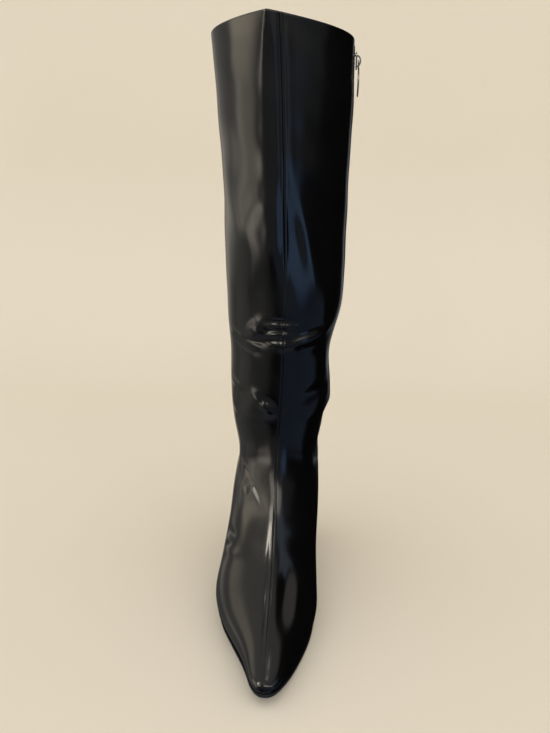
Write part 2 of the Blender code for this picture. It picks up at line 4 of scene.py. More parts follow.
import bpy
import numpy as np
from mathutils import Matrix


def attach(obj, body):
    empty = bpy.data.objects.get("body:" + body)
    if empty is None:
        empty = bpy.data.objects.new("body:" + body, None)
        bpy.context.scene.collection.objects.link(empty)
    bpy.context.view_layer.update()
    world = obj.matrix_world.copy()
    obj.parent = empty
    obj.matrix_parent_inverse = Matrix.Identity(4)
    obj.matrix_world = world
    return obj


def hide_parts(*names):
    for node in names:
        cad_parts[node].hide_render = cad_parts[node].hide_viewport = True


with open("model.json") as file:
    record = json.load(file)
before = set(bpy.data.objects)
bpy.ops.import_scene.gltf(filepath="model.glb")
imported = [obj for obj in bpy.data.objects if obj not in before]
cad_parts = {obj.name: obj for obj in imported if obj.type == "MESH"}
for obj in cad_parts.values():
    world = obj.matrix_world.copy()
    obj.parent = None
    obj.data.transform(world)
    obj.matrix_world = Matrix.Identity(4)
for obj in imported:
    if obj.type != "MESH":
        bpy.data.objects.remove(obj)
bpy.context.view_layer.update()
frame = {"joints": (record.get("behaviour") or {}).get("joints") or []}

# ----------------------------------------------------------
# Camera. It looks slightly down on the front of the boot from a little to its inner side, close
# enough that the collar is nearer than the toe. Lens and distance set the boot's perspective.
CAMERA_PLACE = (0.0395, -0.4119, 0.345)
CAMERA_DOWN = 15.5                      # degrees below the horizon
CAMERA_LEFT = 5.6                       # degrees turned towards the boot's outer side
camera_data = bpy.data.cameras.new("camera")
camera_data.lens = 27.0
camera_data.sensor_width = 36.0
camera_data.clip_start = 0.01
camera = bpy.data.objects.new("camera", camera_data)
camera.location = CAMERA_PLACE
camera.rotation_euler = (math.radians(90 - CAMERA_DOWN), 0, math.radians(CAMERA_LEFT))
bpy.context.scene.collection.objects.link(camera)
bpy.context.scene.camera = camera

# ----------------------------------------------------------
# Insole and sock. A fibre board moulded to the bed of the last, covered with a thin soft sock
# that is glued down and turned over its edge. It lies loose of the upper by a hair.
LENGTH = 0.250                          # toe tip to the back of the heel seat, from above
BALL_WIDTH = 0.092
HEEL_HEIGHT = 0.075
GAP = 0.0003                            # between pieces that meet
SOLE_THICKNESS = 0.003
TOE_SPRING = 0.008
TREAD_START, TREAD_END = 0.33, 0.43     # the flat spot under the ball, as shares of LENGTH
SEAT_SLOPE = 0.10
ORIGIN_RUN = (TREAD_START + TREAD_END) / 2
SOCK_THICKNESS = 0.002
SOCK_FIT = 0.905                        # its size, as a share of the edge of the sole
SOCK_EDGE = 0.03                        # its rounding, as a share of its half width
SOCK_COLOUR = (0.040, 0.036, 0.033, 1)

# Half widths of the edge where upper and sole meet, as shares of BALL_WIDTH.
FEATHER_COLUMNS = ("run", "outer", "inner")
FEATHER_LINE = (
    (0.000, 0.000, 0.000),
    (0.010, 0.068, 0.074),
    (0.040, 0.124, 0.136),
    (0.090, 0.178, 0.198),
    (0.160, 0.272, 0.262),
    (0.250, 0.408, 0.326),
    (0.350, 0.525, 0.362),
    (0.450, 0.525, 0.352),
    (0.560, 0.450, 0.292),
    (0.680, 0.370, 0.250),
    (0.800, 0.345, 0.260),
    (0.900, 0.325, 0.255),
    (0.965, 0.235, 0.190),
    (1.000, 0.000, 0.000),
)


def columns(names, table):
    """The columns of a table by name."""
    return dict(zip(names, np.array(table).T))


def smooth(rows, at):
    """Natural cubic spline through the rows, which stand at 0, 1, 2 and so on, read at "at"."""
    rows = np.asarray(rows, float)
    count = len(rows)
    system = np.eye(count)
    pull = np.zeros_like(rows)
    for i in range(1, count - 1):
        system[i, i - 1:i + 2] = 1, 4, 1
        pull[i] = 6 * (rows[i + 1] - 2 * rows[i] + rows[i - 1])
    bend = np.linalg.solve(system, pull)
    i = np.clip(np.floor(at).astype(int), 0, count - 2)
    u = (at - i)[:, None]
    line = rows[i] * (1 - u) + rows[i + 1] * u
    return line + (((1 - u)**3 - (1 - u)) * bend[i] + (u**3 - u) * bend[i + 1]) / 6


def bed_height(run):
    """Height of the bed: toe spring squared off at the ball, then a cubic rise to the seat."""
    spring = TOE_SPRING * np.clip(1 - run / TREAD_START, 0, 1)**2
    span = 1 - TREAD_END
    x = np.clip((run - TREAD_END) / span, 0, 1)
    rise = HEEL_HEIGHT * (3 * x**2 - 2 * x**3)
    return SOLE_THICKNESS + spring + rise + SEAT_SLOPE * span * LENGTH * (x**3 - x**2)


def bed_normal(run):
    """Unit normal of the bed as its Y and Z, from the slope of the bed's height."""
    step = 0.001
    slope = (bed_height(run + step) - bed_height(run - step)) / (2 * step * LENGTH)
    slope = np.where(run > 1 - step, SEAT_SLOPE, slope)
    size = np.sqrt(1 + slope**2)
    return -slope / size, 1 / size


def feather_half_widths(run):
    """Outer and inner half width at a run: a spline laid over the angle of a half circle."""
    line = columns(FEATHER_COLUMNS, FEATHER_LINE)
    angle = np.arccos(1 - 2 * line["run"])
    at = np.interp(np.arccos(1 - 2 * np.clip(run, 0, 1)), angle, np.arange(len(angle)))
    widths = smooth(np.column_stack((line["outer"], line["inner"])), at)
    return np.maximum(widths, 0).T * BALL_WIDTH


def points_of(x, y, z):
    """Points from their X, Y and Z, any of which may be the same for all."""
    return np.stack(np.broadcast_arrays(x, y, z), axis=-1)


def bed_points(angle, reach, fit, height):
    """Points over the bed. "angle" runs from 0 at the toe to pi at the heel, "reach" from -1 at
    the outer edge to 1 at the inner edge, and "height" is metres off the bed along its normal.
    The run is half of one less the angle's cosine, so the ends are round."""
    run = (1 - np.cos(angle)) / 2
    outer, inner = feather_half_widths(run) * fit
    middle = 0.5 + (run - 0.5) * (1 + (fit - 1) / 3)
    lean_y, lean_z = bed_normal(middle)
    x = (inner - outer)[:, None] / 2 + (outer + inner)[:, None] / 2 * reach
    y = ((middle - ORIGIN_RUN) * LENGTH)[:, None] + height * lean_y[:, None]
    z = bed_height(middle)[:, None] + height * lean_z[:, None]
    return points_of(x, y, z)


def make_mesh(name, shape, material, sheet=None, sharp=180, body="boot"):
    """One piece from its points and four-cornered faces. Points in the same place become one, a
    face left with three corners becomes a triangle, and faces are turned so the volume is
    positive. "sheet" is a place on the flat material for each point and becomes the UV map."""
    points, quads = shape
    _, first, ids = np.unique(np.round(points, 7), axis=0, return_index=True, return_inverse=True)
    quads = ids.reshape(-1)[quads]
    kept = quads != np.roll(quads, 1, axis=1)
    solid = kept.sum(1) > 2
    quads, kept = quads[solid], kept[solid]
    a, b, c, d = points[first][quads.T]
    volume = np.sum(np.cross(b - a, c - a) * a) + np.sum(np.cross(c - a, d - a) * a)
    if volume < 0:
        quads, kept = quads[:, ::-1], kept[:, ::-1]
    totals = kept.sum(1)
    corners = quads[kept]
    mesh = bpy.data.meshes.new(name)
    mesh.vertices.add(len(first))
    mesh.vertices.foreach_set("co", points[first].astype(np.float32).ravel())
    mesh.loops.add(len(corners))
    mesh.loops.foreach_set("vertex_index", corners.astype(np.int32))
    mesh.polygons.add(len(totals))
    mesh.polygons.foreach_set("loop_start", (np.cumsum(totals) - totals).astype(np.int32))
    if sheet is not None:
        layer = mesh.uv_layers.new(name="sheet")
        layer.data.foreach_set("uv", sheet.reshape(-1, 2)[first][corners].astype(np.float32).ravel())
    mesh.update(calc_edges=True)
    mesh.validate()
    mesh.shade_smooth()
    if sharp < 180:
        mesh.set_sharp_from_angle(angle=math.radians(sharp))
    mesh.materials.append(material)
    piece = bpy.data.objects.new(name, mesh)
    bpy.context.scene.collection.objects.link(piece)
    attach(piece, body)
    return piece


def unit(vectors):
    """The vectors at a length of one."""
    return vectors / np.maximum(np.linalg.norm(vectors, axis=-1, keepdims=True), 1e-12)


def grid_quads(rows, across, closed_rows=False, closed_across=True):
    """Faces of a grid of points, with its last row or column joined to the first if closed."""
    i = np.arange(rows if closed_rows else rows - 1)
    j = np.arange(across if closed_across else across - 1)
    i, j = (side.ravel() for side in np.meshgrid(i, j, indexing="ij"))
    k, m = (i + 1) % rows, (j + 1) % across
    return np.column_stack((i * across + j, i * across + m, k * across + m, k * across + j))


def grid_shape(grid, closed_rows=False):
    """Points and faces of a grid that closes round its rows."""
    return grid.reshape(-1, 3), grid_quads(*grid.shape[:2], closed_rows)


def sock_profile():
    """Reach and height round the cross section of the sock, whose edges are half round: its upper
    face from outer to inner edge, then its lower face back."""
    inside = np.sin(np.linspace(-math.pi / 2, math.pi / 2, 25)) * (1 - SOCK_EDGE)
    turn = np.linspace(math.pi / 2, -math.pi / 2, 7)[1:-1]
    edge = 1 - SOCK_EDGE + SOCK_EDGE * np.cos(turn)
    side = (1 + np.sin(turn)) / 2
    rise = np.concatenate((np.ones_like(inside), side, np.zeros_like(inside), side[::-1]))
    return np.concatenate((inside, edge, inside[::-1], -edge[::-1])), SOCK_THICKNESS * rise


def new_material(name, colour, plain):
    """A material whose shader carries the plain values on its own sockets."""
    material = bpy.data.materials.new(name)
    material.use_nodes = True
    shader = material.node_tree.nodes["Principled BSDF"]
    for label, value in {"Base Color": colour, **plain}.items():
        shader.inputs[label].default_value = value
    material.diffuse_color = colour
    return material, shader


def new_group(name, inputs, outputs):
    """An empty shader node group: its inputs and outputs are named numbers."""
    group = bpy.data.node_groups.new(name, "ShaderNodeTree")
    for label in inputs:
        group.interface.new_socket(label, in_out="INPUT", socket_type="NodeSocketFloat")
    for label in outputs:
        group.interface.new_socket(label, in_out="OUTPUT", socket_type="NodeSocketFloat")
    return group, group.nodes.new("NodeGroupInput").outputs, group.nodes.new("NodeGroupOutput").inputs


def feed(tree, sockets, values):
    """Give each input socket its value, which is a number, a colour or another node's output."""
    for socket, value in zip(sockets, values):
        if isinstance(value, bpy.types.NodeSocket):
            tree.links.new(value, socket)
        else:
            socket.default_value = value


def maths(tree, operation, *values):
    """A Math node on sockets or numbers, and its output."""
    node = tree.nodes.new("ShaderNodeMath")
    node.operation = operation
    feed(tree, node.inputs, values)
    return node.outputs[0]


def noise(tree, place, scale, detail=2.0, rough=0.5):
    """A Noise Texture on a place socket, as its value between about 0.3 and 0.7."""
    node = tree.nodes.new("ShaderNodeTexNoise")
    labels = ("Vector", "Scale", "Detail", "Roughness")
    feed(tree, [node.inputs[label] for label in labels], (place, scale, detail, rough))
    return node.outputs["Fac"]


def spread(tree, value, low, high, to_low, to_high):
    """A Map Range node from low..high to to_low..to_high, clamped."""
    node = tree.nodes.new("ShaderNodeMapRange")
    feed(tree, node.inputs, (value, low, high, to_low, to_high))
    return node.outputs["Result"]


def blend_colours(tree, mask, first, second):
    """A Mix node between two colours, which are sockets or values."""
    node = tree.nodes.new("ShaderNodeMix")
    node.data_type = "RGBA"
    feed(tree, [socket for socket in node.inputs if socket.enabled], (mask, first, second))
    return [socket for socket in node.outputs if socket.enabled][0]


def split(tree, place):
    """The X, Y and Z of a place."""
    node = tree.nodes.new("ShaderNodeSeparateXYZ")
    tree.links.new(place, node.inputs[0])
    return node.outputs


def make_weave_group():
    """Weave: threads over and under, from the UV map in metres. Two waves at right angles are
    multiplied by a checker of their cells, so each thread rises where the other sinks. The mask
    is full between the threads: there it is a painted shade that darkens the cloth's colour, and it makes the
    cloth drier."""
    group, given, result = new_group("weave", ("Threads", "Fuzz"), ("Height", "Mask"))
    place = group.nodes.new("ShaderNodeUVMap").outputs["UV"]
    ways = [maths(group, "MULTIPLY", way, given["Threads"]) for way in split(group, place)[:2]]
    warp, weft = [maths(group, "ABSOLUTE", maths(group, "SINE", maths(group, "MULTIPLY", way, math.pi)))
                  for way in ways]
    cell = maths(group, "ADD", *[maths(group, "FLOOR", way) for way in ways])
    over = maths(group, "PINGPONG", cell, 1.0)
    lifted = maths(group, "ADD", maths(group, "MULTIPLY", warp, over),
                   maths(group, "MULTIPLY", weft, maths(group, "SUBTRACT", 1.0, over)))
    fuzz = maths(group, "SUBTRACT", noise(group, place, 9000.0, 3.0), 0.5)
    height = maths(group, "MULTIPLY_ADD", fuzz, given["Fuzz"], lifted)
    # The mask falls as the threads rise. It is painted shade that darkens the cloth where they sink.
    feed(group, result, (height, spread(group, height, 0.0, 1.0, 0.75, 0.0)))
    return group


def add_group(tree, group, *values):
    """An effect group in a material, fed with its values, and its outputs."""
    node = tree.nodes.new("ShaderNodeGroup")
    node.node_tree = group
    feed(tree, node.inputs, values)
    return node.outputs


def finish_shader(tree, shader, colour, rough, height, depth):
    """Give a shader its colour, its roughness and a bump of a depth in metres from a height."""
    bump = tree.nodes.new("ShaderNodeBump")
    feed(tree, (bump.inputs["Distance"], bump.inputs["Height"]), (depth, height))
    sockets = [shader.inputs[label] for label in ("Base Color", "Roughness", "Normal")]
    feed(tree, sockets, (colour, rough, bump.outputs["Normal"]))


def effect_material(name, group, settings, colours, rough, depth, plain):
    """A material on a group that gives a height and a mask. The height is its bump, and the mask
    leads from the first to the second colour and roughness."""
    material, shader = new_material(name, colours[0], {"Roughness": rough[0], **plain})
    tree = material.node_tree
    height, mask = add_group(tree, group, *settings)
    tint = blend_colours(tree, mask, *colours)
    finish_shader(tree, shader, tint, spread(tree, mask, 0.0, 1.0, *rough), height, depth)
    return material


WEAVE = make_weave_group()


def woven_material(name, colour, painted_shade_colour, threads, depth, fuzz, sheen):
    """Cloth: its threads to the metre stand up, and between them it is drier and darker, a painted shade."""
    return effect_material(name, WEAVE, (threads, fuzz), (colour, painted_shade_colour), (0.75, 1.0), depth,
                           {"Sheen Weight": sheen})


def sheet_of(points):
    """A place on the flat material for each point of a grid: lengths along and across it."""
    down = np.linalg.norm(np.diff(points, axis=0), axis=-1)
    down = np.vstack((np.zeros((1, points.shape[1])), np.cumsum(down, axis=0)))
    over = np.linalg.norm(np.diff(points, axis=1), axis=-1)
    over = np.hstack((np.zeros((points.shape[0], 1)), np.cumsum(over, axis=1)))
    return np.stack((over, down), axis=-1)


# Its second colour is painted shade between the sock's threads.
sock_material = woven_material("sock_microfibre", SOCK_COLOUR, (0.012, 0.011, 0.010, 1),
                               1500.0, 0.00008, 0.6, 0.2)
bed_angle = np.linspace(0, math.pi, 110)
sock_reach, sock_height = sock_profile()
sock = bed_points(bed_angle, sock_reach, SOCK_FIT, sock_height)
insole = make_mesh("insole_sock", grid_shape(sock), sock_material, sheet_of(sock))
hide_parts("insole")

# ----------------------------------------------------------
# Upper, outer half. One long piece of glossy black coated leather from toe to collar on the
# outer side, closed to the inner half by a turned seam down the front and one up the back.
INSTEP_HEIGHT = 0.135
BOOT_HEIGHT = 0.488
COLLAR_WIDTH = 0.118
LEATHER = 0.0012                        # thickness of the coated leather
COLLAR_ROLL = 0.0009                    # radius of the folded edge round the collar
SEAM_ROLL = 0.0005                      # radius of the leather's edge where it turns into a seam
SEAM_PARTING = 0.00008                  # half of the hairline between the two halves
LIP_RISE, LIP_PLACE, LIP_WIDTH = 0.00020, 0.0015, 0.0010
ARC_SAMPLES = 200                       # points that measure a quarter of a section

FOOT_COLUMNS = ("bottom", "top", "rise", "outer", "inner", "fullest", "crown", "shift")
FOOT_SECTIONS = (
    (0.000, 0.000, 0.085, 0.000, 0.000, 0.45, 1.90, 0.000),
    (0.006, 0.004, 0.118, 0.056, 0.062, 0.45, 1.90, 0.000),
    (0.024, 0.020, 0.140, 0.104, 0.116, 0.42, 1.90, -0.002),
    (0.056, 0.052, 0.163, 0.150, 0.166, 0.40, 1.85, -0.006),
    (0.108, 0.104, 0.201, 0.212, 0.220, 0.36, 1.80, -0.012),
    (0.176, 0.172, 0.244, 0.315, 0.280, 0.34, 1.75, -0.018),
    (0.256, 0.248, 0.296, 0.447, 0.345, 0.33, 1.70, -0.025),
    (0.340, 0.328, 0.363, 0.548, 0.392, 0.33, 1.70, -0.030),
    (0.424, 0.400, 0.444, 0.582, 0.402, 0.34, 1.70, -0.035),
    (0.516, 0.460, 0.541, 0.568, 0.388, 0.36, 1.70, -0.038),
    (0.612, 0.506, 0.637, 0.545, 0.378, 0.40, 1.75, -0.038),
    (0.708, 0.540, 0.726, 0.528, 0.384, 0.44, 1.80, -0.042),
    (0.800, 0.562, 0.800, 0.520, 0.388, 0.47, 1.85, -0.044),
    (0.884, 0.576, 0.867, 0.510, 0.388, 0.48, 1.85, -0.043),
    (0.956, 0.585, 0.926, 0.502, 0.382, 0.49, 1.85, -0.041),
    (1.000, 0.590, 0.981, 0.495, 0.374, 0.50, 1.85, -0.040),
)
SHAFT_COLUMNS = ("back", "front", "back_rise", "front_rise", "outer", "inner", "fullest",
                 "crown", "shift", "outer_lift", "inner_lift")
SHAFT_SECTIONS = (
    (1.008, 0.592, 0.207, 0.291, 0.385, 0.288, 0.51, 1.85, -0.030, 0.000, 0.000),
    (0.996, 0.590, 0.262, 0.320, 0.410, 0.305, 0.52, 1.85, -0.024, 0.000, 0.000),
    (0.984, 0.584, 0.320, 0.359, 0.436, 0.347, 0.52, 1.85, -0.014, 0.000, 0.000),
    (0.984, 0.574, 0.383, 0.406, 0.450, 0.360, 0.52, 1.85, 0.000, 0.000, 0.000),
    (0.996, 0.562, 0.457, 0.463, 0.448, 0.342, 0.52, 1.85, 0.010, 0.000, 0.000),
    (1.012, 0.548, 0.541, 0.541, 0.472, 0.415, 0.53, 1.76, 0.020, 0.000, 0.000),
    (1.026, 0.536, 0.645, 0.645, 0.432, 0.478, 0.545, 1.58, -0.056, 0.000, 0.000),
    (1.036, 0.528, 0.762, 0.762, 0.415, 0.496, 0.565, 1.40, -0.078, 0.000, 0.000),
    (1.040, 0.524, 0.885, 0.885, 0.429, 0.523, 0.58, 1.24, -0.102, 0.000, 0.000),
    (1.040, 0.522, 0.990, 1.000, 0.469, 0.519, 0.585, 1.02, -0.090, 0.000, -0.010),
)
HEEL_SECTION = len(FOOT_SECTIONS) - 1   # the last arch of the foot, which closes at the heel
COLLAR_SECTION = HEEL_SECTION + len(SHAFT_SECTIONS)


def section_rows():
    """Every section in metres: bottom, its height, top, its height, outer and inner half width,
    how far up it is widest, its crown, its front line's shift, and the lifts of its two sides."""
    foot = columns(FOOT_COLUMNS, FOOT_SECTIONS)
    none = np.zeros(len(FOOT_SECTIONS))
    arches = (foot["bottom"] * LENGTH, bed_height(foot["bottom"]),
              foot["top"] * LENGTH, foot["rise"] * INSTEP_HEIGHT,
              foot["outer"] * BALL_WIDTH, foot["inner"] * BALL_WIDTH,
              foot["fullest"], foot["crown"], foot["shift"] * BALL_WIDTH, none, none)
    shaft = columns(SHAFT_COLUMNS, SHAFT_SECTIONS)
    rings = (shaft["back"] * LENGTH, shaft["back_rise"] * BOOT_HEIGHT,
             shaft["front"] * LENGTH, shaft["front_rise"] * BOOT_HEIGHT,
             shaft["outer"] * COLLAR_WIDTH, shaft["inner"] * COLLAR_WIDTH,
             shaft["fullest"], shaft["crown"], shaft["shift"] * COLLAR_WIDTH,
             shaft["outer_lift"] * BOOT_HEIGHT, shaft["inner_lift"] * BOOT_HEIGHT)
    rows = np.vstack((np.array(arches).T, np.array(rings).T))
    rows[0, 3] = rows[0, 1]
    return rows


def sections_at(at):
    """The sections between the rows, by a spline. The bottom slows to a stop at the heel's back
    edge, where it turns from the seat up the back."""
    table = section_rows()
    rows = smooth(table, at)
    off = np.clip(at - HEEL_SECTION, -1, 1)
    slowed = at - off + np.sign(off) * (2 * off**2 - np.abs(off)**3)
    rows[:, :2] = smooth(table[:, :2], slowed)
    foot = at < HEEL_SECTION
    rows[foot, 1] = bed_height(rows[foot, 0] / LENGTH)
    return rows


def half_sections(at, side):
    """One side of each section as points from the front line to its edge or back, and the length
    up to each. The upper part is a superellipse and the lower part an ellipse that is cut off at
    the feather line."""
    rows = sections_at(at)
    bottom, low, top, high, outer, inner, fullest, crown, shift, outer_lift, inner_lift = rows.T[..., None]
    half, lift = (inner, inner_lift) if side > 0 else (outer, outer_lift)
    feather = feather_half_widths(np.where(at < HEEL_SECTION, rows[:, 0] / LENGTH, 1))[int(side > 0), :, None]
    last = np.arccos(np.clip(feather / np.maximum(half, 1e-9), 0, 0.985))
    turn = np.linspace(math.pi / 2, 0, ARC_SAMPLES)[None, :]
    rest = np.linspace(0, 1, ARC_SAMPLES)[None, 1:] * last
    up = np.hstack((fullest + (1 - fullest) * np.sin(turn), fullest * (1 - np.sin(rest) / np.sin(last))))
    wide = np.hstack((np.maximum(np.cos(turn), 0)**(2 / crown), np.cos(rest)))
    x = side * half * wide + shift * up
    y = bottom + up * (top - bottom) - ORIGIN_RUN * LENGTH
    z = low + up * (high - low) + lift * wide
    points = np.stack((x, y, z), axis=-1)
    steps = np.linalg.norm(np.diff(points, axis=1), axis=-1)
    return points, np.hstack((np.zeros((len(at), 1)), np.cumsum(steps, axis=1)))


def skin(at, share):
    """Points of the upper's outer face. "at" counts sections from toe to collar, one a row, and
    each row of "share" goes round it by length: -1 is the outer edge or the back, 0 the line
    down the front and 1 the inner edge or the back."""
    lane = 2 * np.arange(len(at))[:, None]
    sides = []
    for side in (-1, 1):
        points, length = half_sections(at, side)
        keys = (length / np.maximum(length[:, -1:], 1e-9) + lane).ravel()
        where = (np.abs(share) + lane).ravel()
        found = [np.interp(where, keys, points[..., axis].ravel()) for axis in range(3)]
        sides.append(np.stack(found, axis=-1).reshape(share.shape + (3,)))
    return np.where(share[..., None] < 0, sides[0], sides[1])


def skin_normals(at, share):
    """Unit normals of the outer face, from the differences of near points."""
    step = 0.01
    up = skin(np.minimum(at + step, COLLAR_SECTION), share) - skin(np.maximum(at - step, 0), share)
    round_it = skin(at, np.minimum(share + step, 1)) - skin(at, np.maximum(share - step, -1))
    normals = unit(np.cross(round_it, up))
    bed_y, bed_z = bed_normal(np.clip(sections_at(at)[:, 0] / LENGTH, 0, 1))
    stands = (at <= HEEL_SECTION)[:, None] & (np.abs(share) > 0.97)
    bed = np.stack((np.zeros_like(bed_y), bed_y, bed_z), axis=-1)[:, None, :]
    flat = normals - np.sum(normals * bed, axis=-1, keepdims=True) * bed
    return unit(np.where(stands[..., None], flat, normals))


def side_length(at, side):
    """Length round one side of each section, from the front line to its edge or the back."""
    return half_sections(at, side)[1][:, -1]


# How far the front seam lies inwards of the front line, one value for each section from the
# ankle up: above it the shaft's front edge is pressed in beside the seam.
SEAM_LEAVES = HEEL_SECTION + 4
SEAM_OFFSETS = (0, 0, 0.0001, 0.0099, 0.0116, 0.0134, 0.0099)


def seam_offset(at):
    """Length from the front line to the front seam, by a spline from the ankle up."""
    places = np.clip(at - SEAM_LEAVES, 0, len(SEAM_OFFSETS) - 1)
    return np.maximum(smooth(np.array(SEAM_OFFSETS)[:, None], places)[:, 0], 0)


def share_from_seam(at, around):
    """Share of places that lie "around" metres from the front seam, - on the outer side."""
    from_line = around + seam_offset(at)[:, None]
    reach = np.where(from_line < 0, side_length(at, -1)[:, None], side_length(at, 1)[:, None])
    return np.clip(from_line / np.maximum(reach, 1e-6), -1, 1)


def panel_length(at, side):
    """Length round one side of each section, from the front seam to its edge or the back."""
    return side_length(at, side) - side * seam_offset(at)


def seam_length(at):
    """Length along the front seam from the toe tip to each section."""
    fine = np.linspace(0, COLLAR_SECTION, 1500)
    line = skin(fine, share_from_seam(fine, np.zeros((len(fine), 1))))[:, 0]
    length = np.concatenate(((0,), np.cumsum(np.linalg.norm(np.diff(line, axis=0), axis=1))))
    return np.interp(at, fine, length)


# Folds of the leather, placed in millimetres on its own surface: "along" the front seam from the
# toe tip and "around" from the seam, + towards the inner side. Each runs from a first to a second
# end, bows sideways at its middle, and has a half width and a rise, which is negative in a trough.
# Columns: along_1, around_1, along_2, around_2, bow, width, rise.
FOLDS = (
    # long swelling of the outer calf that ends over the shin
    (452, -62, 392, -26, 4, 13.0, 1.9),
    (396, -22, 352, -38, -4, 9.0, 0.5),
    (426, -30, 418, -12, 0, 15.0, 1.0),
    # the flat beside the seam over that swelling
    (430, -9, 376, -9, 0, 8.0, 1.9),
    # raised lips either side of the seam below the collar
    (560, 5, 430, 5, 0, 3.6, 0.45),
    (545, -6, 400, -6, 0, 3.6, 0.45),
    # the shin's inner flat and its edge
    (432, 10, 330, 38, 0, 7.0, 1.5),
    (425, 9, 345, 13, 0, 7.0, -0.6),
    # the swelling outside the ripples, and the crease that ends it
    (326, -31, 314, -22, 1, 8.5, 2.7),
    (310, -42, 308, -16, -1, 3.0, -0.9),
    # ripples over the seam above the ankle
    (329.6, -15, 329.4, 7, 0, 1.9, -0.60),
    (325.2, -16, 324.6, 10, 0.4, 2.0, 1.25),
    (320.9, -15, 320.8, 6, 0, 2.0, -0.80),
    (316.4, -17, 316.6, 3, -0.6, 2.2, 1.75),
    (312.0, -15, 311.8, 2, 0, 2.0, -0.80),
    (308.2, -14, 308.2, -3, 0, 2.2, 0.50),
    # the crease that leaves them towards the outer side
    (318, -64, 305, -25, 1, 3.0, 0.7),
    (312, -60, 300, -24, 1, 4.0, -0.7),
    # the ridge on the inner side and the trough under it
    (306.0, -3, 320, 47, 0, 4.6, 2.9),
    (299.0, 2, 312, 44, 0, 8.5, 1.3),
    (297.5, 4, 307, 32, 0, 2.2, -0.4),
    # second bend: a swelling outside the seam, with a knob at its end
    (274, -66, 264, -41, 1, 3.6, 1.2),
    (262, -30, 243.5, -5, 0, 4.8, 2.35),
    (253, -16, 246, -7, 0, 4.6, 1.6),
    (252, -34, 236, -8, 0, 9.0, 1.6),
    # the ridge that turns down under it
    (251, -64, 231, -16, 3, 3.4, 1.0),
    # hollow and swelling of the inner side
    (255, 16, 268, 66, -2, 7.5, -2.9),
    (286, 22, 290, 60, 0, 9.0, 1.1),
    (240, 18, 244, 56, 0, 8.0, 1.3),
    # throat: the soft turn from shaft to foot, the long crease over the outer ankle, its dent
    (201, -74, 203, -14, 1, 6.5, 0.65),
    (204, 12, 201, 60, 0, 6.5, 0.65),
    (201, -50, 162, -19, -2, 3.8, 0.75),
    (197, -43, 161, -13, -2, 3.4, -0.75),
    (179, -34, 172, -27, 0, 4.0, -1.3),
    # creases at the outer edge behind the ball
    (152, -58, 137, -41, 0, 2.8, -1.5),
    (144, -56, 134, -42, 0, 2.6, 0.9),
    (138, -56, 133, -43, 0, 2.2, -0.9),
    (132, -52, 118, -34, 1, 4.0, 0.7),
    # raised line over the seam on the instep, and the soft hollow beside it on the toe
    (218, 0, 84, 0, 0, 14.0, 2.6),
    (214, 0, 92, 0, 0, 7.0, 1.3),
    (104, 14, 50, 12, 0, 8.0, -2.3),
    (118, -2.6, 34, -2.6, 0, 1.5, -0.6),
    # soft bends behind the ankle and up the back
    (252, 96, 232, 60, 0, 7.0, -1.4),
    (262, 100, 246, 66, 0, 6.0, 1.2),
    (250, -110, 228, -74, 0, 7.0, -1.5),
    (262, -112, 242, -78, 0, 6.0, 1.3),
    (282, 120, 262, 84, 0, 7.0, -1.1),
    (300, -125, 284, -88, 0, 8.0, -1.2),
    (312, -130, 298, -92, 0, 7.0, 1.0),
    (330, 128, 312, 88, 0, 8.0, -1.0),
    (225, -84, 196, -58, 0, 6.0, -1.2),
    (222, 82, 196, 50, 0, 6.0, -1.1),
    (212, 84, 188, 52, 0, 5.0, 0.9),
)


def bell(off, width):
    """A bell curve: one in the middle, and about a third at the width."""
    return np.exp(-(off / width)**2)


def fold_height(along, around):
    """Height of all folds over the smooth leather, in metres. Across a fold it is a bell curve of
    the distance from its bowed middle line, and along it the bell fades past both ends."""
    total = np.zeros_like(around)
    for along_1, around_1, along_2, around_2, bow, width, rise in np.array(FOLDS) / 1000:
        step = np.array((along_2 - along_1, around_2 - around_1))
        size = np.hypot(*step)
        place = ((along - along_1) * step[0] + (around - around_1) * step[1]) / size**2
        off = ((around - around_1) * step[0] - (along - along_1) * step[1]) / size
        off = off - 4 * bow * place * (1 - place)
        fade = np.exp(-np.abs((place - 0.5) / 0.5)**3)
        total += rise * fade * bell(off, width)
    return total


def soft_waves(along, around):
    """Slow unevenness of worn leather: a few long crossed sine waves, in metres."""
    wave = (0.00022 * np.sin(along * 73 + around * 31) + 0.00018 * np.sin(along * 41 - around * 88 + 1.3)
            + 0.00012 * np.sin(along * 150 + around * 67 + 2.1))
    return wave * np.clip((along - 0.03) / 0.06, 0, 1)


def edge_roll(distance, radius):
    """Depth of a rounded edge: a quarter circle that ends at the surface."""
    left = np.clip(1 - distance / np.maximum(radius, 1e-9), 0, 1)
    return radius * (1 - np.sqrt(1 - left**2))


ROLL_POINTS = 6


def roll_steps(radius):
    """Distances from an edge that stand at even angles on its quarter circle."""
    return radius * (1 - np.cos(np.linspace(0, math.pi / 2, ROLL_POINTS)))


def seam_lips(distance, scale):
    """The leather's face near a turned seam: it rolls into the seam and stands up beside it."""
    lip = LIP_RISE * bell(distance - LIP_PLACE * scale, LIP_WIDTH * scale)
    return scale * lip - edge_roll(distance, SEAM_ROLL * scale)


LEATHER_ROWS = 400


def leather_rows():
    """Sections where the leather has a row of points. They lie close where it folds most, and at
    the collar they follow its rolled edge."""
    fine = np.linspace(0, COLLAR_SECTION, 4000)
    length = seam_length(fine) * 1000
    folded = np.exp(-((length - 290) / 62)**4)
    dense = (1.0 + 1.25 * folded + 1.6 * bell(length, 22)) * np.gradient(length)
    step = fine[1] - fine[0]
    need = np.cumsum(dense + 42 * step * np.exp(-(fine - HEEL_SECTION)**2 / 2))
    at = np.interp(np.linspace(need[0], need[-1], LEATHER_ROWS), need, fine)
    at[0] = 0
    rim = COLLAR_SECTION - roll_steps(COLLAR_ROLL)[::-1] / (length[-1] - length[-2]) * step * 1000
    return np.concatenate((at[at < rim[0] - 0.01], rim))


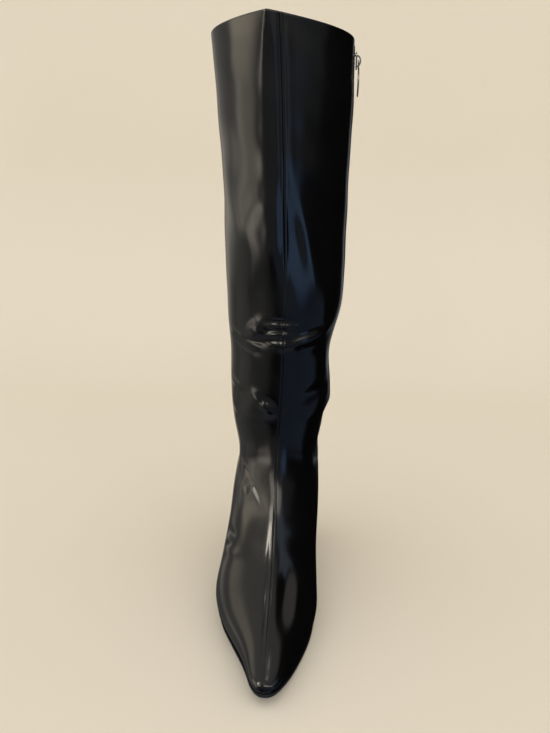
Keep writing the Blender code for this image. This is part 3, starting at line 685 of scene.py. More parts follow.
AT = leather_rows()
ALONG = seam_length(AT)
NEAR_SEAM = np.concatenate((roll_steps(SEAM_ROLL), (0.0011, 0.0016, 0.0021, 0.0027, 0.0035, 0.0046, 0.006)))


EDGE_SHARE = 0.3                        # of a panel's width, for the points near one edge


def panel_distances(first, last, across, near_first, near_last):
    """Distances round the boot for one panel in each row, from its first to its last edge. Near
    each edge they follow the fixed "near" distances, which shrink where the row is short, and
    they are even in between."""
    width = last - first
    scale_first = np.minimum(1, EDGE_SHARE * width / near_first[-1])[:, None]
    scale_last = np.minimum(1, EDGE_SHARE * width / near_last[-1])[:, None]
    start = first[:, None] + near_first * scale_first
    end = last[:, None] - near_last[::-1] * scale_last
    middle = np.linspace(0, 1, across + 2)[None, 1:-1]
    middle = start[:, -1:] + (end[:, :1] - start[:, -1:]) * middle
    return np.hstack((start, middle, end)), scale_first, scale_last


EDGE_SOFTNESS = 0.0016                  # the pressed front edge is averaged over this reach
EDGE_REACH = 0.006                      # and this far round from the front line
EDGE_MIX = 0.6                          # by this share
COLLAR_CALM = 0.35                      # share of the folds that is left at the collar's edge
COLLAR_FADE = 0.25                      # sections over which they come down to it
CALM_REACH = 0.012                      # folds and waves fade out within this of the sole's edge


def leather_skin(at, along, around, lift):
    """Points of the leather: the smooth skin moved along its normal by the folds and a lift, which
    is negative under its face. "around" is measured from the front seam, - on the outer side.
    Near the front line three neighbouring points are averaged, which rounds the pressed edge."""
    share = share_from_seam(at, around)
    places = skin(at, share)
    beside = (skin(at, share_from_seam(at, around - EDGE_SOFTNESS))
              + skin(at, share_from_seam(at, around + EDGE_SOFTNESS))) / 2
    pressed = np.clip(at - SEAM_LEAVES - 1, 0, 1)[:, None]
    soft = bell(around + seam_offset(at)[:, None], EDGE_REACH) * pressed
    places = places + EDGE_MIX * soft[..., None] * (beside - places)
    along = np.broadcast_to(along[:, None], around.shape)
    length = np.where(around < 0, panel_length(at, -1)[:, None], panel_length(at, 1)[:, None])
    calm = np.clip(np.abs(length - np.abs(around)) / CALM_REACH, 0, 1)
    calm = np.where((at < HEEL_SECTION + 1)[:, None], calm, 1)
    fall = COLLAR_CALM + (1 - COLLAR_CALM) * np.clip((COLLAR_SECTION - at) / COLLAR_FADE, 0, 1)
    height = (fold_height(along, around) + soft_waves(along, around)) * calm * fall[:, None]
    return places + (height + lift)[..., None] * skin_normals(at, share)


def close_shell(outer, inner, left_out=()):
    """Points and faces of a wall between two grids of points. Cells have a face on both sides but
    where they are left out, and the border of the rest is closed by strips between the two."""
    rows, across = outer.shape[:2]
    ids = np.arange(rows * across).reshape(rows, across)
    keep = np.ones((rows - 1, across - 1), bool)
    if left_out:
        keep[left_out] = False
    cell = np.stack((ids[:-1, :-1], ids[:-1, 1:], ids[1:, 1:], ids[1:, :-1]), axis=-1)
    faces = [cell[keep], cell[keep][:, ::-1] + rows * across]
    open_cells = np.pad(keep, 1)
    for di, dj, a, b in ((-1, 0, 0, 1), (0, 1, 1, 2), (1, 0, 2, 3), (0, -1, 3, 0)):
        beyond = open_cells[1 + di:rows + di, 1 + dj:across + dj]
        border = cell[keep & ~beyond]
        faces.append(np.column_stack((border[:, b], border[:, a],
                                      border[:, a] + rows * across, border[:, b] + rows * across)))
    return np.vstack((outer.reshape(-1, 3), inner.reshape(-1, 3))), np.vstack(faces)


def object_place(tree):
    """The place on the object, in metres."""
    return tree.nodes.new("ShaderNodeTexCoord").outputs["Object"]


def stretched(tree, place, height):
    """The place with its height scaled, which draws a pattern out upwards."""
    node = tree.nodes.new("ShaderNodeMapping")
    feed(tree, (node.inputs["Vector"], node.inputs["Scale"]), (place, (1.0, 1.0, height)))
    return node.outputs[0]


def make_leather_group():
    """Coated leather: small rounded pebbles between creases, from a cell pattern whose edges are
    softened, over a slower unevenness. Its mask is of dry scuffs, and of dust low on the boot.
    Its dullness, added to the roughness, is of broad smears, the scuffs and the creases."""
    group, _, result = new_group("coated_leather", (), ("Height", "Mask", "Dullness"))
    place = object_place(group)
    cells = group.nodes.new("ShaderNodeTexVoronoi")
    cells.feature = "SMOOTH_F1"
    sockets = [cells.inputs[label] for label in ("Vector", "Scale", "Smoothness")]
    feed(group, sockets, (place, 1500.0, 0.6))
    pebble = maths(group, "SUBTRACT", 1.0, cells.outputs["Distance"])
    height = maths(group, "MULTIPLY_ADD", noise(group, place, 525.0, 3.0), 0.5, pebble)
    creases = spread(group, cells.outputs["Distance"], 0.3, 0.75, 0.0, 0.05)
    smears = spread(group, noise(group, place, 26.0, 4.0, 0.55), 0.38, 0.68, 0.0, 0.07)
    scratch = noise(group, stretched(group, place, 0.16), 620.0, 2.0, 0.6)
    scratch = spread(group, scratch, 0.70, 0.82, 0.0, 0.6)
    patches = spread(group, noise(group, place, 14.0), 0.52, 0.66, 0.0, 1.0)
    specks = spread(group, noise(group, place, 1700.0, 1.0), 0.74, 0.84, 0.0, 0.7)
    low = spread(group, split(group, place)["Z"], 0.0, 0.11, 0.60, 0.09)
    marks = maths(group, "MULTIPLY_ADD", specks, low, maths(group, "MULTIPLY", scratch, patches))
    dullness = maths(group, "MULTIPLY_ADD", marks, 0.25, maths(group, "ADD", smears, creases))
    feed(group, result, (height, marks, dullness))
    return group


COATED_LEATHER = make_leather_group()


def leather_material(name, colour, worn, rough, depth):
    """Coated leather: pebbles as bump, marks in its colour, and dullness over its roughness."""
    coat = {"Coat Weight": 0.35, "Coat Roughness": 0.09}
    material, shader = new_material(name, colour, {"Roughness": rough, **coat})
    tree = material.node_tree
    height, marks, dullness = add_group(tree, COATED_LEATHER)
    tint = blend_colours(tree, marks, colour, worn)
    finish_shader(tree, shader, tint, maths(tree, "ADD", rough, dullness), height, depth)
    return material


upper_material = leather_material("glossy_black_leather", (0.0013, 0.0013, 0.0014, 1),
                                  (0.016, 0.015, 0.014, 1), 0.14, 0.000012)

NEAR_RIDGE = np.concatenate((NEAR_SEAM, np.arange(0.0071, 0.0215, 0.0011)))
SECTIONS_PER_METRE = (COLLAR_SECTION - AT[-ROLL_POINTS]) / COLLAR_ROLL  # at the collar
collar_drop = (COLLAR_SECTION - AT)[:, None] / SECTIONS_PER_METRE
closed_rows = (AT > HEEL_SECTION)[:, None]


def panel_faces(side, distance, near_scale, back_scale, slit_relief=0.0):
    """Face and back of the leather on one side, from each row's distances from the front seam. It
    rolls into the front seam, into the back seam above the heel, and over at the collar."""
    length = panel_length(AT, side)[:, None]
    relief = seam_lips(distance, near_scale) - edge_roll(collar_drop, COLLAR_ROLL) + slit_relief
    relief = relief + np.where(closed_rows, seam_lips(length - distance, back_scale), 0)
    last = length - SEAM_PARTING * back_scale * closed_rows
    around = side * np.clip(distance, SEAM_PARTING * near_scale, last)
    return leather_skin(AT, ALONG, around, relief), leather_skin(AT, ALONG, around, -LEATHER)


outer_panel = panel_distances(np.zeros(len(AT)), panel_length(AT, -1), 66, NEAR_RIDGE, NEAR_SEAM)
outer_face, outer_back = panel_faces(-1, *outer_panel)
outer_face[0], outer_back[0] = outer_face[0, 0], outer_back[0, 0]
outer_half = make_mesh("upper_outer_half", close_shell(outer_face, outer_back),
                       upper_material, sharp=60)
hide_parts("upper")

# ----------------------------------------------------------
# Upper, inner half. The same leather on the inner side, slit from the collar to above the ankle
# for the zip. Both edges of the slit are folded under and stitched to the zip's tapes.
SLIT_WIDTH = 0.009
ZIP_START = 16.0
ZIP_LOW_SHARE = 0.52
ZIP_TOP_SHARE = 0.49
SLIT_ROLL = 0.0011
STITCH_LINE = 0.0026                    # from the slit's folded edge
STITCH_DENT, DENT_WIDTH = 0.00022, 0.0007   # how deep the thread draws the leather in
NEAR_SLIT = np.concatenate((roll_steps(SLIT_ROLL), (0.0017, 0.0022, 0.0026, 0.003, 0.0036, 0.0046)))


def zip_middle(at):
    """Distance round the inner side from the front seam to the zip's middle line. From the front
    line it is an even change between two shares of that side."""
    rise = np.clip((at - ZIP_START) / (COLLAR_SECTION - ZIP_START), 0, 1)
    share = ZIP_LOW_SHARE + rise * (ZIP_TOP_SHARE - ZIP_LOW_SHARE)
    return share * side_length(at, 1) - seam_offset(at)


def slit_edges(at):
    """Distances of the slit's two edges in each row. Below the zip they run on to the sole as
    two lines at the same shares of the way round."""
    reach = np.clip(at, ZIP_START, COLLAR_SECTION)
    length = panel_length(reach, 1)
    middle = zip_middle(reach) / length
    half = SLIT_WIDTH / 2 / length
    here = panel_length(at, 1)
    return (middle - half) * here, (middle + half) * here


front_edge, rear_edge = slit_edges(AT)
front_panel, near_scale, _ = panel_distances(np.zeros(len(AT)), front_edge, 32, NEAR_SEAM, NEAR_SLIT)
rear_panel, _, back_scale = panel_distances(rear_edge, panel_length(AT, 1), 32, NEAR_SLIT, NEAR_SEAM)
from_slit = np.hstack((front_edge[:, None] - front_panel, rear_panel - rear_edge[:, None]))
fold_in = np.clip((AT - ZIP_START) / 0.05, 0, 1)[:, None]
drawn_in = STITCH_DENT * bell(from_slit - STITCH_LINE, DENT_WIDTH)
inner_face, inner_back = panel_faces(1, np.hstack((front_panel, rear_panel)), near_scale, back_scale,
                                     -fold_in * (edge_roll(from_slit, SLIT_ROLL) + drawn_in))
inner_face[0], inner_back[0] = outer_face[0, 0], outer_back[0, 0]
slit_cells = (AT[:-1] >= ZIP_START, front_panel.shape[1] - 1)
inner_half = make_mesh("upper_inner_half", close_shell(inner_face, inner_back, slit_cells),
                       upper_material, sharp=60)
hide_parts("upper")

# ----------------------------------------------------------
# Lining. A thin dark knit glued inside both halves, closed at the back and open along the zip.
# It ends under the leather that is turned in round the collar.
LINING = 0.0005
LINING_PLAY = 0.0001                    # between the leather's back and the knit
LINING_LAP = 0.0006                     # how far the knit laps over the slit's two edges
LINING_TOP = 0.0008                     # below the collar's edge
LINING_ROWS = 170

# Its second colour is painted shade between the knit's threads.
lining_material = woven_material("lining_knit", (0.020, 0.019, 0.019, 1), (0.006, 0.006, 0.006, 1),
                                 1200.0, 0.00010, 0.5, 0.25)
lining_top = COLLAR_SECTION - LINING_TOP * SECTIONS_PER_METRE
counts = np.linspace(0, len(AT) - 1, LINING_ROWS)
lining_at = np.interp(counts, np.arange(len(AT)), np.minimum(AT, lining_top))
lining_at = np.unique(np.append(lining_at, (ZIP_START, lining_top)))
lining_at[0] = 0.0
lining_along = seam_length(lining_at)
front_edge, rear_edge = slit_edges(lining_at)
front_edge = (front_edge + LINING_LAP)[:, None]
rear_edge = (rear_edge - LINING_LAP)[:, None]
steps = np.linspace(0, 1, 24)
outer_part = -panel_length(lining_at, -1)[:, None] * np.linspace(1, 0, 45)[:-1]
rear_part = rear_edge + (panel_length(lining_at, 1)[:, None] - rear_edge) * steps
lining_around = np.hstack((outer_part, front_edge * steps, rear_part))


def lining_face(depth):
    """The lining's face at a depth under the leather's outer face."""
    face = leather_skin(lining_at, lining_along, lining_around, -depth)
    closed = lining_at >= HEEL_SECTION
    face[closed, -1] = face[closed, 0]
    face[0] = face[0, 0]
    return face


opening = (lining_at[:-1] >= ZIP_START, outer_part.shape[1] + len(steps) - 1)
knit_out, knit_in = lining_face(LEATHER + LINING_PLAY), lining_face(LEATHER + LINING_PLAY + LINING)
lining = make_mesh("lining", close_shell(knit_out, knit_in, opening), lining_material,
                   np.concatenate((sheet_of(knit_out), sheet_of(knit_in))))
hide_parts("upper")

# ----------------------------------------------------------
# Outsole. One thin sheet of black rubber under the whole foot, trimmed flush with the upper and
# bevelled under, with fine ribs pressed into its tread and a plain waist.
SOLE_EDGE = 1.012                       # its size, as a share of the edge of the upper
SOLE_BEVEL = 0.0010
SOLE_FULLEST = -0.55 * SOLE_THICKNESS   # where its side stands out furthest, off the bed
RIB_PITCH = 0.0042
RIB_DEPTH = 0.0005
TREAD_RUNS = (0.13, 0.52)               # where the ribbed tread starts and ends
TREAD_REACH = 0.78                      # and how far it goes to the sides
TREAD_FADE = (0.01, 0.04)               # softness of its ends and of its sides


def make_rubber_group():
    """Moulded rubber: a fine even stipple, and a mask of slow scuffed patches."""
    group, _, result = new_group("moulded_rubber", (), ("Height", "Mask"))
    place = object_place(group)
    patches = spread(group, noise(group, place, 60.0, 6.0, 0.65), 0.50, 0.68, 0.0, 1.0)
    feed(group, result, (noise(group, place, 2600.0, 1.0), patches))
    return group


RUBBER = make_rubber_group()

sole_material = effect_material("sole_rubber", RUBBER, (),
                                ((0.013, 0.013, 0.013, 1), (0.0315, 0.0305, 0.029, 1)),
                                (0.42, 0.60), 0.00006, {})
sole_angle = np.linspace(0, math.pi, 300)
sole_run = ((1 - np.cos(sole_angle)) / 2)[:, None]
inside = np.sin(np.linspace(-math.pi / 2, math.pi / 2, 61))
half_width = np.sum(feather_half_widths(sole_run[:, 0]), axis=0)[:, None] / 2
bevel = np.clip(1 - SOLE_BEVEL / np.maximum(half_width, 0.002), 0.5, 1)
ribbed = np.clip((sole_run - TREAD_RUNS[0]) / TREAD_FADE[0], 0, 1)
ribbed = ribbed * np.clip((TREAD_RUNS[1] - sole_run) / TREAD_FADE[0], 0, 1)
ribbed = ribbed * np.clip((TREAD_REACH - np.abs(inside)) / TREAD_FADE[1], 0, 1)
rib = 0.5 + 0.5 * np.tanh(4 * np.sin(2 * math.pi * sole_run * LENGTH / RIB_PITCH))
under = -SOLE_THICKNESS + RIB_DEPTH * ribbed * rib
strips = ((inside[::-1], -GAP), (-1, SOLE_FULLEST), (inside * bevel, under), (1, SOLE_FULLEST))
sole = np.hstack([bed_points(sole_angle, reach, SOLE_EDGE, height) for reach, height in strips])
outsole = make_mesh("outsole_sheet", grid_shape(sole), sole_material, sharp=35)
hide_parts("outsole")

# ----------------------------------------------------------
# Heel. A moulded block, drawn in from the seat to its foot and flat at its breast in front. It
# is covered with the upper's leather, which is turned under at the seat and at the foot.
BREAST_RUN = 0.77
HEEL_TIP_START, HEEL_TIP_END = 0.205, 0.239
HEEL_TIP_WIDTH = 0.030
HEEL_TAPER = 1.7
TIP_THICKNESS = 0.006
HEEL_FOLD, FOLD_SHARE = 0.0005, 0.02    # how far the cover draws in at both ends, and over what


def filled_stack(rings):
    """Close a stack of like rings into one body, each end by rings that shrink to its middle."""
    shrink = (0.0, 0.25, 0.5, 0.75, 0.94, 0.985)
    ends = [[ring.mean(0) + (ring - ring.mean(0)) * s for s in shrink] for ring in (rings[0], rings[-1])]
    return grid_shape(np.array(ends[0] + list(rings) + ends[1][::-1]))


heel_material = leather_material("heel_cover_leather", (0.0018, 0.0018, 0.0020, 1),
                                 (0.02, 0.019, 0.018, 1), 0.15, 0.000009)

# The heel's outline is a D: from the breast's inner corner round the back to its outer corner,
# and back along the straight breast. It lies under the seat, and smaller at the heel's foot.
back_angle = np.linspace(math.acos(1 - 2 * BREAST_RUN), math.pi, 60)
breast_reach = np.linspace(-1, 1, 42)[1:-1]
breast_angle = np.full_like(breast_reach, back_angle[0])
heel_angle = np.concatenate((back_angle, back_angle[-2::-1], breast_angle))
heel_reach = np.concatenate((np.ones_like(back_angle), -np.ones_like(back_angle[1:]), breast_reach))
seat = bed_points(heel_angle, heel_reach[:, None], 1, -SOLE_THICKNESS - GAP)[:, 0]
heel_run = (1 - np.cos(heel_angle)) / 2
heel_width = np.sum(feather_half_widths(heel_run), axis=0)
foot_x = heel_reach * heel_width / np.max(heel_width) * HEEL_TIP_WIDTH / 2
foot_run = (heel_run - BREAST_RUN) / (1 - BREAST_RUN)
foot_y = HEEL_TIP_START + foot_run * (HEEL_TIP_END - HEEL_TIP_START) - ORIGIN_RUN * LENGTH
foot = points_of(foot_x, foot_y, TIP_THICKNESS + GAP)
down = np.linspace(0, 1, 90)[:, None, None]
rings = seat + (foot - seat) * (1 - (1 - down)**HEEL_TAPER)
rings[..., 2] = (seat + (foot - seat) * down)[..., 2]
outward = rings - rings.mean(1, keepdims=True)
outward[..., 2] = 0
rings -= HEEL_FOLD * (bell(down, FOLD_SHARE) + bell(1 - down, FOLD_SHARE)) * unit(outward)
heel = make_mesh("heel_cover", filled_stack(rings), heel_material, sharp=40)
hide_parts("heel")

# ----------------------------------------------------------
# Top piece. The hard rubber lift nailed under the heel, with a rounded lower edge.
TIP_ROUND = 0.0007
tip_material = effect_material("top_piece_rubber", RUBBER, (),
                               ((0.014, 0.014, 0.014, 1), (0.037, 0.0355, 0.032, 1)),
                               (0.5, 0.68), 0.00005, {})
turn = np.linspace(0, math.pi / 2, 5)
levels = np.concatenate((TIP_ROUND * (1 - np.cos(turn)), (0.003, TIP_THICKNESS - 0.0002, TIP_THICKNESS)))
insets = np.concatenate((TIP_ROUND * (1 - np.sin(turn)), (0.0, 0.0, 0.0002)))
rings = foot - insets[:, None, None] * unit(foot - foot.mean(0))
rings[..., 2] = levels[:, None]
top_piece = make_mesh("top_piece", filled_stack(rings), tip_material, sharp=40)
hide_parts("heel_tip")

# ----------------------------------------------------------
# Zip. Two woven tapes behind the slit's edges carry moulded teeth, which are closed up to the
# slider just under the collar.
TAPE_FACE, TAPE_BACK = -0.0006, -0.0011
TAPE_OUT, TAPE_IN = 0.0056, 0.0004      # how far a tape reaches from the zip's middle line
TAPE_CORD = 0.0003                      # rise of the cord along its edge, on both faces
CORD_PLACE, CORD_WIDTH = 0.0009, 0.0005
TOOTH_PITCH = 0.0021
TOOTH_SIZE = (0.00225, 0.00135, 0.0023)     # across, along and through the tape
TOOTH_REACH = 0.00085                   # the tooth's middle from the zip's middle line
TOOTH_SINK = -0.00045                   # and from the leather's face
ZIP_BOTTOM = ZIP_START + 0.06
ZIP_TOP = COLLAR_SECTION - 0.03

# Its second colour is painted shade between the tape's threads.
tape_material = woven_material("zip_tape_cloth", (0.012, 0.012, 0.013, 1), (0.003, 0.003, 0.003, 1),
                               2600.0, 0.00008, 0.3, 0.1)


def zip_places(at, across, out):
    """Points near the zip's line, "across" metres behind it and "out" metres off the leather's
    smooth face, which follows the folds there."""
    around = zip_middle(at)[:, None] + across
    share = share_from_seam(at, around)
    along = np.broadcast_to(seam_length(at)[:, None], around.shape)
    height = fold_height(along, around) + soft_waves(along, around)
    return skin(at, share) + (out + height)[..., None] * skin_normals(at, share)


tape_at = np.linspace(ZIP_BOTTOM, ZIP_TOP, 220)
for name, side in (("zip_tape_front", -1), ("zip_tape_rear", 1)):
    across = side * np.linspace(TAPE_IN, TAPE_OUT, 9)
    cord = TAPE_CORD * bell(np.abs(across) - CORD_PLACE, CORD_WIDTH)
    face = zip_places(tape_at, across, TAPE_FACE + cord)
    back = zip_places(tape_at, across, TAPE_BACK - cord)
    tape = make_mesh(name, close_shell(face, back), tape_material,
                     np.concatenate((sheet_of(face), sheet_of(back))), sharp=50)
    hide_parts("zip_chain")


def fuller(wave, power):
    """A sine or cosine raised to a power, with its sign kept: small powers make a fuller shape."""
    return np.sign(wave) * np.abs(wave)**power


def rounded_block(size, around, up, boxy):
    """A block of a size with rounded corners as a superellipsoid: cosines and sines of two
    angles, each raised to a power that is small for a boxy shape."""
    lap = np.linspace(0, 2 * math.pi, around, endpoint=False)
    rise = np.linspace(-math.pi / 2, math.pi / 2, up)[:, None]
    wide = fuller(np.cos(rise), boxy)
    block = points_of(wide * fuller(np.cos(lap), boxy), wide * fuller(np.sin(lap), boxy),
                      fuller(np.sin(rise), boxy))
    return block / 2 * size


def many(block, places, frames):
    """Copies of a grid of points as one mesh: each is turned into its frame and moved."""
    points = np.einsum("rcx,nxy->nrcy", block, frames) + places[:, None, None, :]
    offsets = np.arange(len(places)) * block.shape[0] * block.shape[1]
    quads = grid_quads(*block.shape[:2]) + offsets[:, None, None]
    return points.reshape(-1, 3), quads.reshape(-1, 4)


def line_frames(at, across, out):
    """Places on the zip's line with their frames: across, along and out of the leather."""
    here = zip_places(at, across, out)[:, 0]
    along = unit(zip_places(at + 0.004, across, out)[:, 0] - here)
    out_of = unit(np.cross(zip_places(at, across + 0.0005, out)[:, 0] - here, along))
    return here, np.stack((np.cross(along, out_of), along, out_of), axis=1)


fine_at = np.linspace(ZIP_BOTTOM, ZIP_TOP, 800)
zip_line = zip_places(fine_at, 0.0, 0.0)[:, 0]
zip_length = np.concatenate(((0,), np.cumsum(np.linalg.norm(np.diff(zip_line, axis=0), axis=1))))


def make_metal_group():
    """Polished metal: hairline scratches one way, and a mask of slow smears."""
    group, _, result = new_group("polished_metal", (), ("Height", "Mask"))
    place = object_place(group)
    hairlines = noise(group, stretched(group, place, 0.06), 2500.0, 2.0, 0.7)
    feed(group, result, (hairlines, spread(group, noise(group, place, 240.0, 3.0), 0.4, 0.65, 0.0, 1.0)))
    return group


METAL = make_metal_group()


def metal_material(name, colour, tarnish, rough):
    """Plated metal, which is duller and tarnished in its smears."""
    return effect_material(name, METAL, (), (colour, tarnish), (rough, rough + 0.14), 0.000006,
                           {"Metallic": 1.0})


teeth_material = metal_material("zip_teeth_gunmetal", (0.10, 0.10, 0.105, 1), (0.075, 0.075, 0.08, 1), 0.30)
tooth = rounded_block(TOOTH_SIZE, 10, 5, 0.45)
tooth_count = int(zip_length[-1] / TOOTH_PITCH)
for name, side, shift in (("zip_teeth_front", -1, 0.25), ("zip_teeth_rear", 1, 0.75)):
    tooth_at = np.interp((np.arange(tooth_count) + shift) * TOOTH_PITCH, zip_length, fine_at)
    shape = many(tooth, *line_frames(tooth_at, side * TOOTH_REACH, TOOTH_SINK))
    teeth = make_mesh(name, shape, teeth_material, sharp=55)
    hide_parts("zip_chain")

# ----------------------------------------------------------
# Zip stitching. One row of bonded thread along each folded edge of the slit, which holds the
# leather to the tape behind it.
STITCH_PITCH = 0.0031
STITCH_SIZE = (0.00055, 0.0024, 0.00055)
STITCH_LIFT = 0.00002                   # of the thread's middle off the leather's face
# Its second colour is painted shade in the weave of the thread.
thread_material = woven_material("bonded_thread", (0.016, 0.016, 0.017, 1), (0.005, 0.005, 0.005, 1),
                                 4000.0, 0.00003, 0.2, 0.3)
stitch_count = int(zip_length[-1] / STITCH_PITCH)
stitch_at = np.interp((np.arange(stitch_count) + 0.6) * STITCH_PITCH, zip_length, fine_at)
stitch_across = SLIT_WIDTH / 2 + STITCH_LINE
rows = [line_frames(stitch_at, side * stitch_across, STITCH_LIFT) for side in (-1, 1)]
places, frames = (np.concatenate(both) for both in zip(*rows))
points, quads = many(rounded_block(STITCH_SIZE, 8, 5, 0.8), places, frames)
make_mesh("zip_stitching", (points, quads), thread_material, points[:, 1:])

# ----------------------------------------------------------
# Zip slider. A cast and plated body: two plates joined by a post in front of the teeth, with an
# arched bridge on its face for the pull.
SLIDER_DROP = 0.0145                    # along the zip from the collar to its middle
SLIDER_LENGTH, SLIDER_WIDTH = 0.013, 0.008
SLIDER_NARROW = 0.76                    # share of its width at its foot
SLIDER_GAP = 0.0005                     # between the teeth and its plates
CHAIN_PROUD, CHAIN_DEPTH = 0.0006, 0.0018   # the teeth's space, out of the leather and into it
PLATE, PLATE_ROUND = 0.0012, 0.00035
POST_WIDTH, POST_LENGTH = 0.0018, 0.003
BRIDGE_REACH, BRIDGE_RISE = 0.0040, 0.00295
BRIDGE_SECTION = (0.0011, 0.00055)      # half width and half thickness of the arch

silver_material = metal_material("nickel_plated_zinc", (0.62, 0.61, 0.59, 1), (0.52, 0.51, 0.495, 1), 0.16)


def slider_frame():
    """Origin and axes of the slider: across the zip, out of the leather, and up the zip.
    It is where the smooth leather is SLIDER_DROP below the collar on the zip's line."""
    at = np.linspace(COLLAR_SECTION - 1, COLLAR_SECTION, 400)
    line = skin(at, share_from_seam(at, zip_middle(at)[:, None]))[:, 0]
    below = np.append(np.cumsum(np.linalg.norm(np.diff(line, axis=0), axis=1)[::-1])[::-1], 0)
    here = np.interp(-SLIDER_DROP, -below, at)
    near = np.array((here - 0.05, here, here + 0.05))
    share = share_from_seam(near, zip_middle(near)[:, None])
    line = skin(near, share)[:, 0]
    up = unit(line[2] - line[0])
    level = unit(np.cross(skin_normals(near, share)[1, 0], up))
    return line[1], np.array((level, np.cross(up, level), up))


def plate(low, high):
    """A plate of the slider between two distances out of the leather, with rounded edges. Its
    outline in X and Z is a superellipse that is narrower towards its foot."""
    turn = np.linspace(0, math.pi / 2, 4)
    into, round_it = PLATE_ROUND * (1 - np.sin(turn)), PLATE_ROUND * (1 - np.cos(turn))
    levels = np.concatenate((low + round_it, high - into))[:, None]
    insets = np.concatenate((into, round_it))[:, None]
    turn = np.linspace(0, 2 * math.pi, 72, endpoint=False)
    z = fuller(np.sin(turn), 0.55) * (SLIDER_LENGTH / 2 - insets)
    taper = 1 - (1 - SLIDER_NARROW) * np.clip(0.5 - z / SLIDER_LENGTH, 0, 1)**1.5
    x = fuller(np.cos(turn), 0.6) * (SLIDER_WIDTH / 2 * taper - insets)
    return filled_stack(points_of(x, levels, z))


def carried(path, normals, width, depth, closed=False):
    """An oval section carried along a path, as 12 points for each of the path's. It has a half
    depth along the normals and a half width to the path's side, and both may change on the way."""
    along = np.roll(path, -1, axis=0) - np.roll(path, 1, axis=0) if closed else np.gradient(path, axis=0)
    normals = np.broadcast_to(normals, path.shape)
    side = unit(np.cross(unit(along), normals))
    turn = np.linspace(0, 2 * math.pi, 12, endpoint=False)[:, None]
    width, depth = np.reshape(width, (-1, 1, 1)), np.reshape(depth, (-1, 1, 1))
    return (path[:, None] + side[:, None] * (fuller(np.cos(turn), 0.75) * width)
            + normals[:, None] * (fuller(np.sin(turn), 0.75) * depth))


def capped(tube):
    """Points and faces of a carried section with both ends drawn to a point."""
    first, last = (np.broadcast_to(ring.mean(0), (1, *ring.shape)) for ring in (tube[0], tube[-1]))
    return grid_shape(np.concatenate((first, tube, last)))


def placed(parts, place, axes):
    """Several shapes as one, brought from their own axes to the boot's."""
    starts = np.cumsum([0] + [len(points) for points, _ in parts])
    points = np.vstack([points for points, _ in parts])
    return points @ axes + place, np.vstack([quads + start for (_, quads), start in zip(parts, starts)])


face, back = CHAIN_PROUD + SLIDER_GAP, -CHAIN_DEPTH - SLIDER_GAP
post = points_of(0.0, np.linspace(back - PLATE / 2, face + PLATE / 2, 6),
                 SLIDER_LENGTH / 2 - POST_LENGTH / 2 - 0.0004)
turn = np.linspace(-0.12, math.pi + 0.12, 40)
arch = points_of(0.0, face + PLATE - 0.0002 + BRIDGE_RISE * np.sin(turn), BRIDGE_REACH * np.cos(turn))
arch_normals = unit(points_of(0.0, np.sin(turn) / BRIDGE_RISE, np.cos(turn) / BRIDGE_REACH))
flare = 1 + 0.35 * np.abs(np.cos(turn))**6
parts = (plate(face, face + PLATE), plate(back - PLATE, back),
         capped(carried(post, (0.0, 0.0, 1.0), POST_WIDTH / 2, POST_LENGTH / 2 - 0.0002)),
         capped(carried(arch, arch_normals, BRIDGE_SECTION[0] * flare, BRIDGE_SECTION[1])))
slider = make_mesh("slider_body", placed(parts, *slider_frame()), silver_material, sharp=50)
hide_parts("zip_slider")

# ----------------------------------------------------------
# Zip pull. A light plated drop with a long hole, cast in one with the loop that goes under the
# slider's bridge. It turns on the loop's bar and hangs down the leather.
PULL_LENGTH = 0.027                     # from the joint's axis to its lower end
PULL_BOW = 0.0004
LOOP_HALF, LOOP_END = 0.00215, 0.0058
WIRE = 0.0006                           # half thickness of the loop
DROP_HALF = 0.0028                      # half width of the drop, to the middle of its rim
DROP_TOP, DROP_END = -0.0076, -PULL_LENGTH + 0.0009
RIM_WIDTH, RIM_DEPTH = 0.0009, 0.00068  # halves of the drop's rim
pull_joint = frame["joints"][0]
pull_level = unit(np.array(pull_joint["axis"]))
pull_out = unit(np.cross((0.0, 0.0, 1.0), pull_level))
pull_axes = np.array((pull_level, pull_out, np.cross(pull_level, pull_out)))


def ring_of(half_width, top, bottom, power, count):
    """A closed loop in X and Z between two heights: a superellipse, fuller when power is small."""
    turn = np.linspace(0, 2 * math.pi, count, endpoint=False)
    z = (top + bottom) / 2 + fuller(np.sin(turn), power) * (top - bottom) / 2
    return points_of(fuller(np.cos(turn), power) * half_width, 0.0, z)


def pull_bow(z):
    """The drop bends a little away from the leather towards its middle."""
    return PULL_BOW * np.sin(math.pi * np.clip(-z / PULL_LENGTH, 0, 1))


loop = ring_of(LOOP_HALF, 0.0, -LOOP_END, 0.35, 64)
drop = ring_of(DROP_HALF, DROP_TOP, DROP_END, 0.8, 96)
narrow = np.clip((-drop[:, 2] - 0.0070) / 0.0105, 0, 1)
drop[:, 0] *= 0.45 + 0.55 * np.sin(narrow * math.pi / 2)
drop[:, 1] = pull_bow(drop[:, 2])
neck_z = np.linspace(-LOOP_END + 0.0003, -0.0105, 12)
neck = points_of(0.0, pull_bow(neck_z), neck_z)
neck_width = 0.0012 + 0.0007 * np.linspace(-1, 1, 12)**2
ahead = (0.0, 1.0, 0.0)
parts = (grid_shape(carried(loop, ahead, WIRE, WIRE, closed=True), closed_rows=True),
         grid_shape(carried(drop, ahead, RIM_WIDTH, RIM_DEPTH, closed=True), closed_rows=True),
         capped(carried(neck, ahead, neck_width, 0.00064)))
pull = make_mesh("pull_drop", placed(parts, np.array(pull_joint["pos_m"]), pull_axes),
                 silver_material, sharp=50, body="pull")
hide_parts("zip_pull")

# ----------------------------------------------------------
# Floor and light. A plain pale sweep of paper under an even soft light. The polished leather
# mirrors a plain room: a pale wall and lamps on the left, a bluish window on the right.
SWEEP_BACK = 0.62                       # where the paper starts to rise behind the boot
SWEEP_RADIUS = 0.5


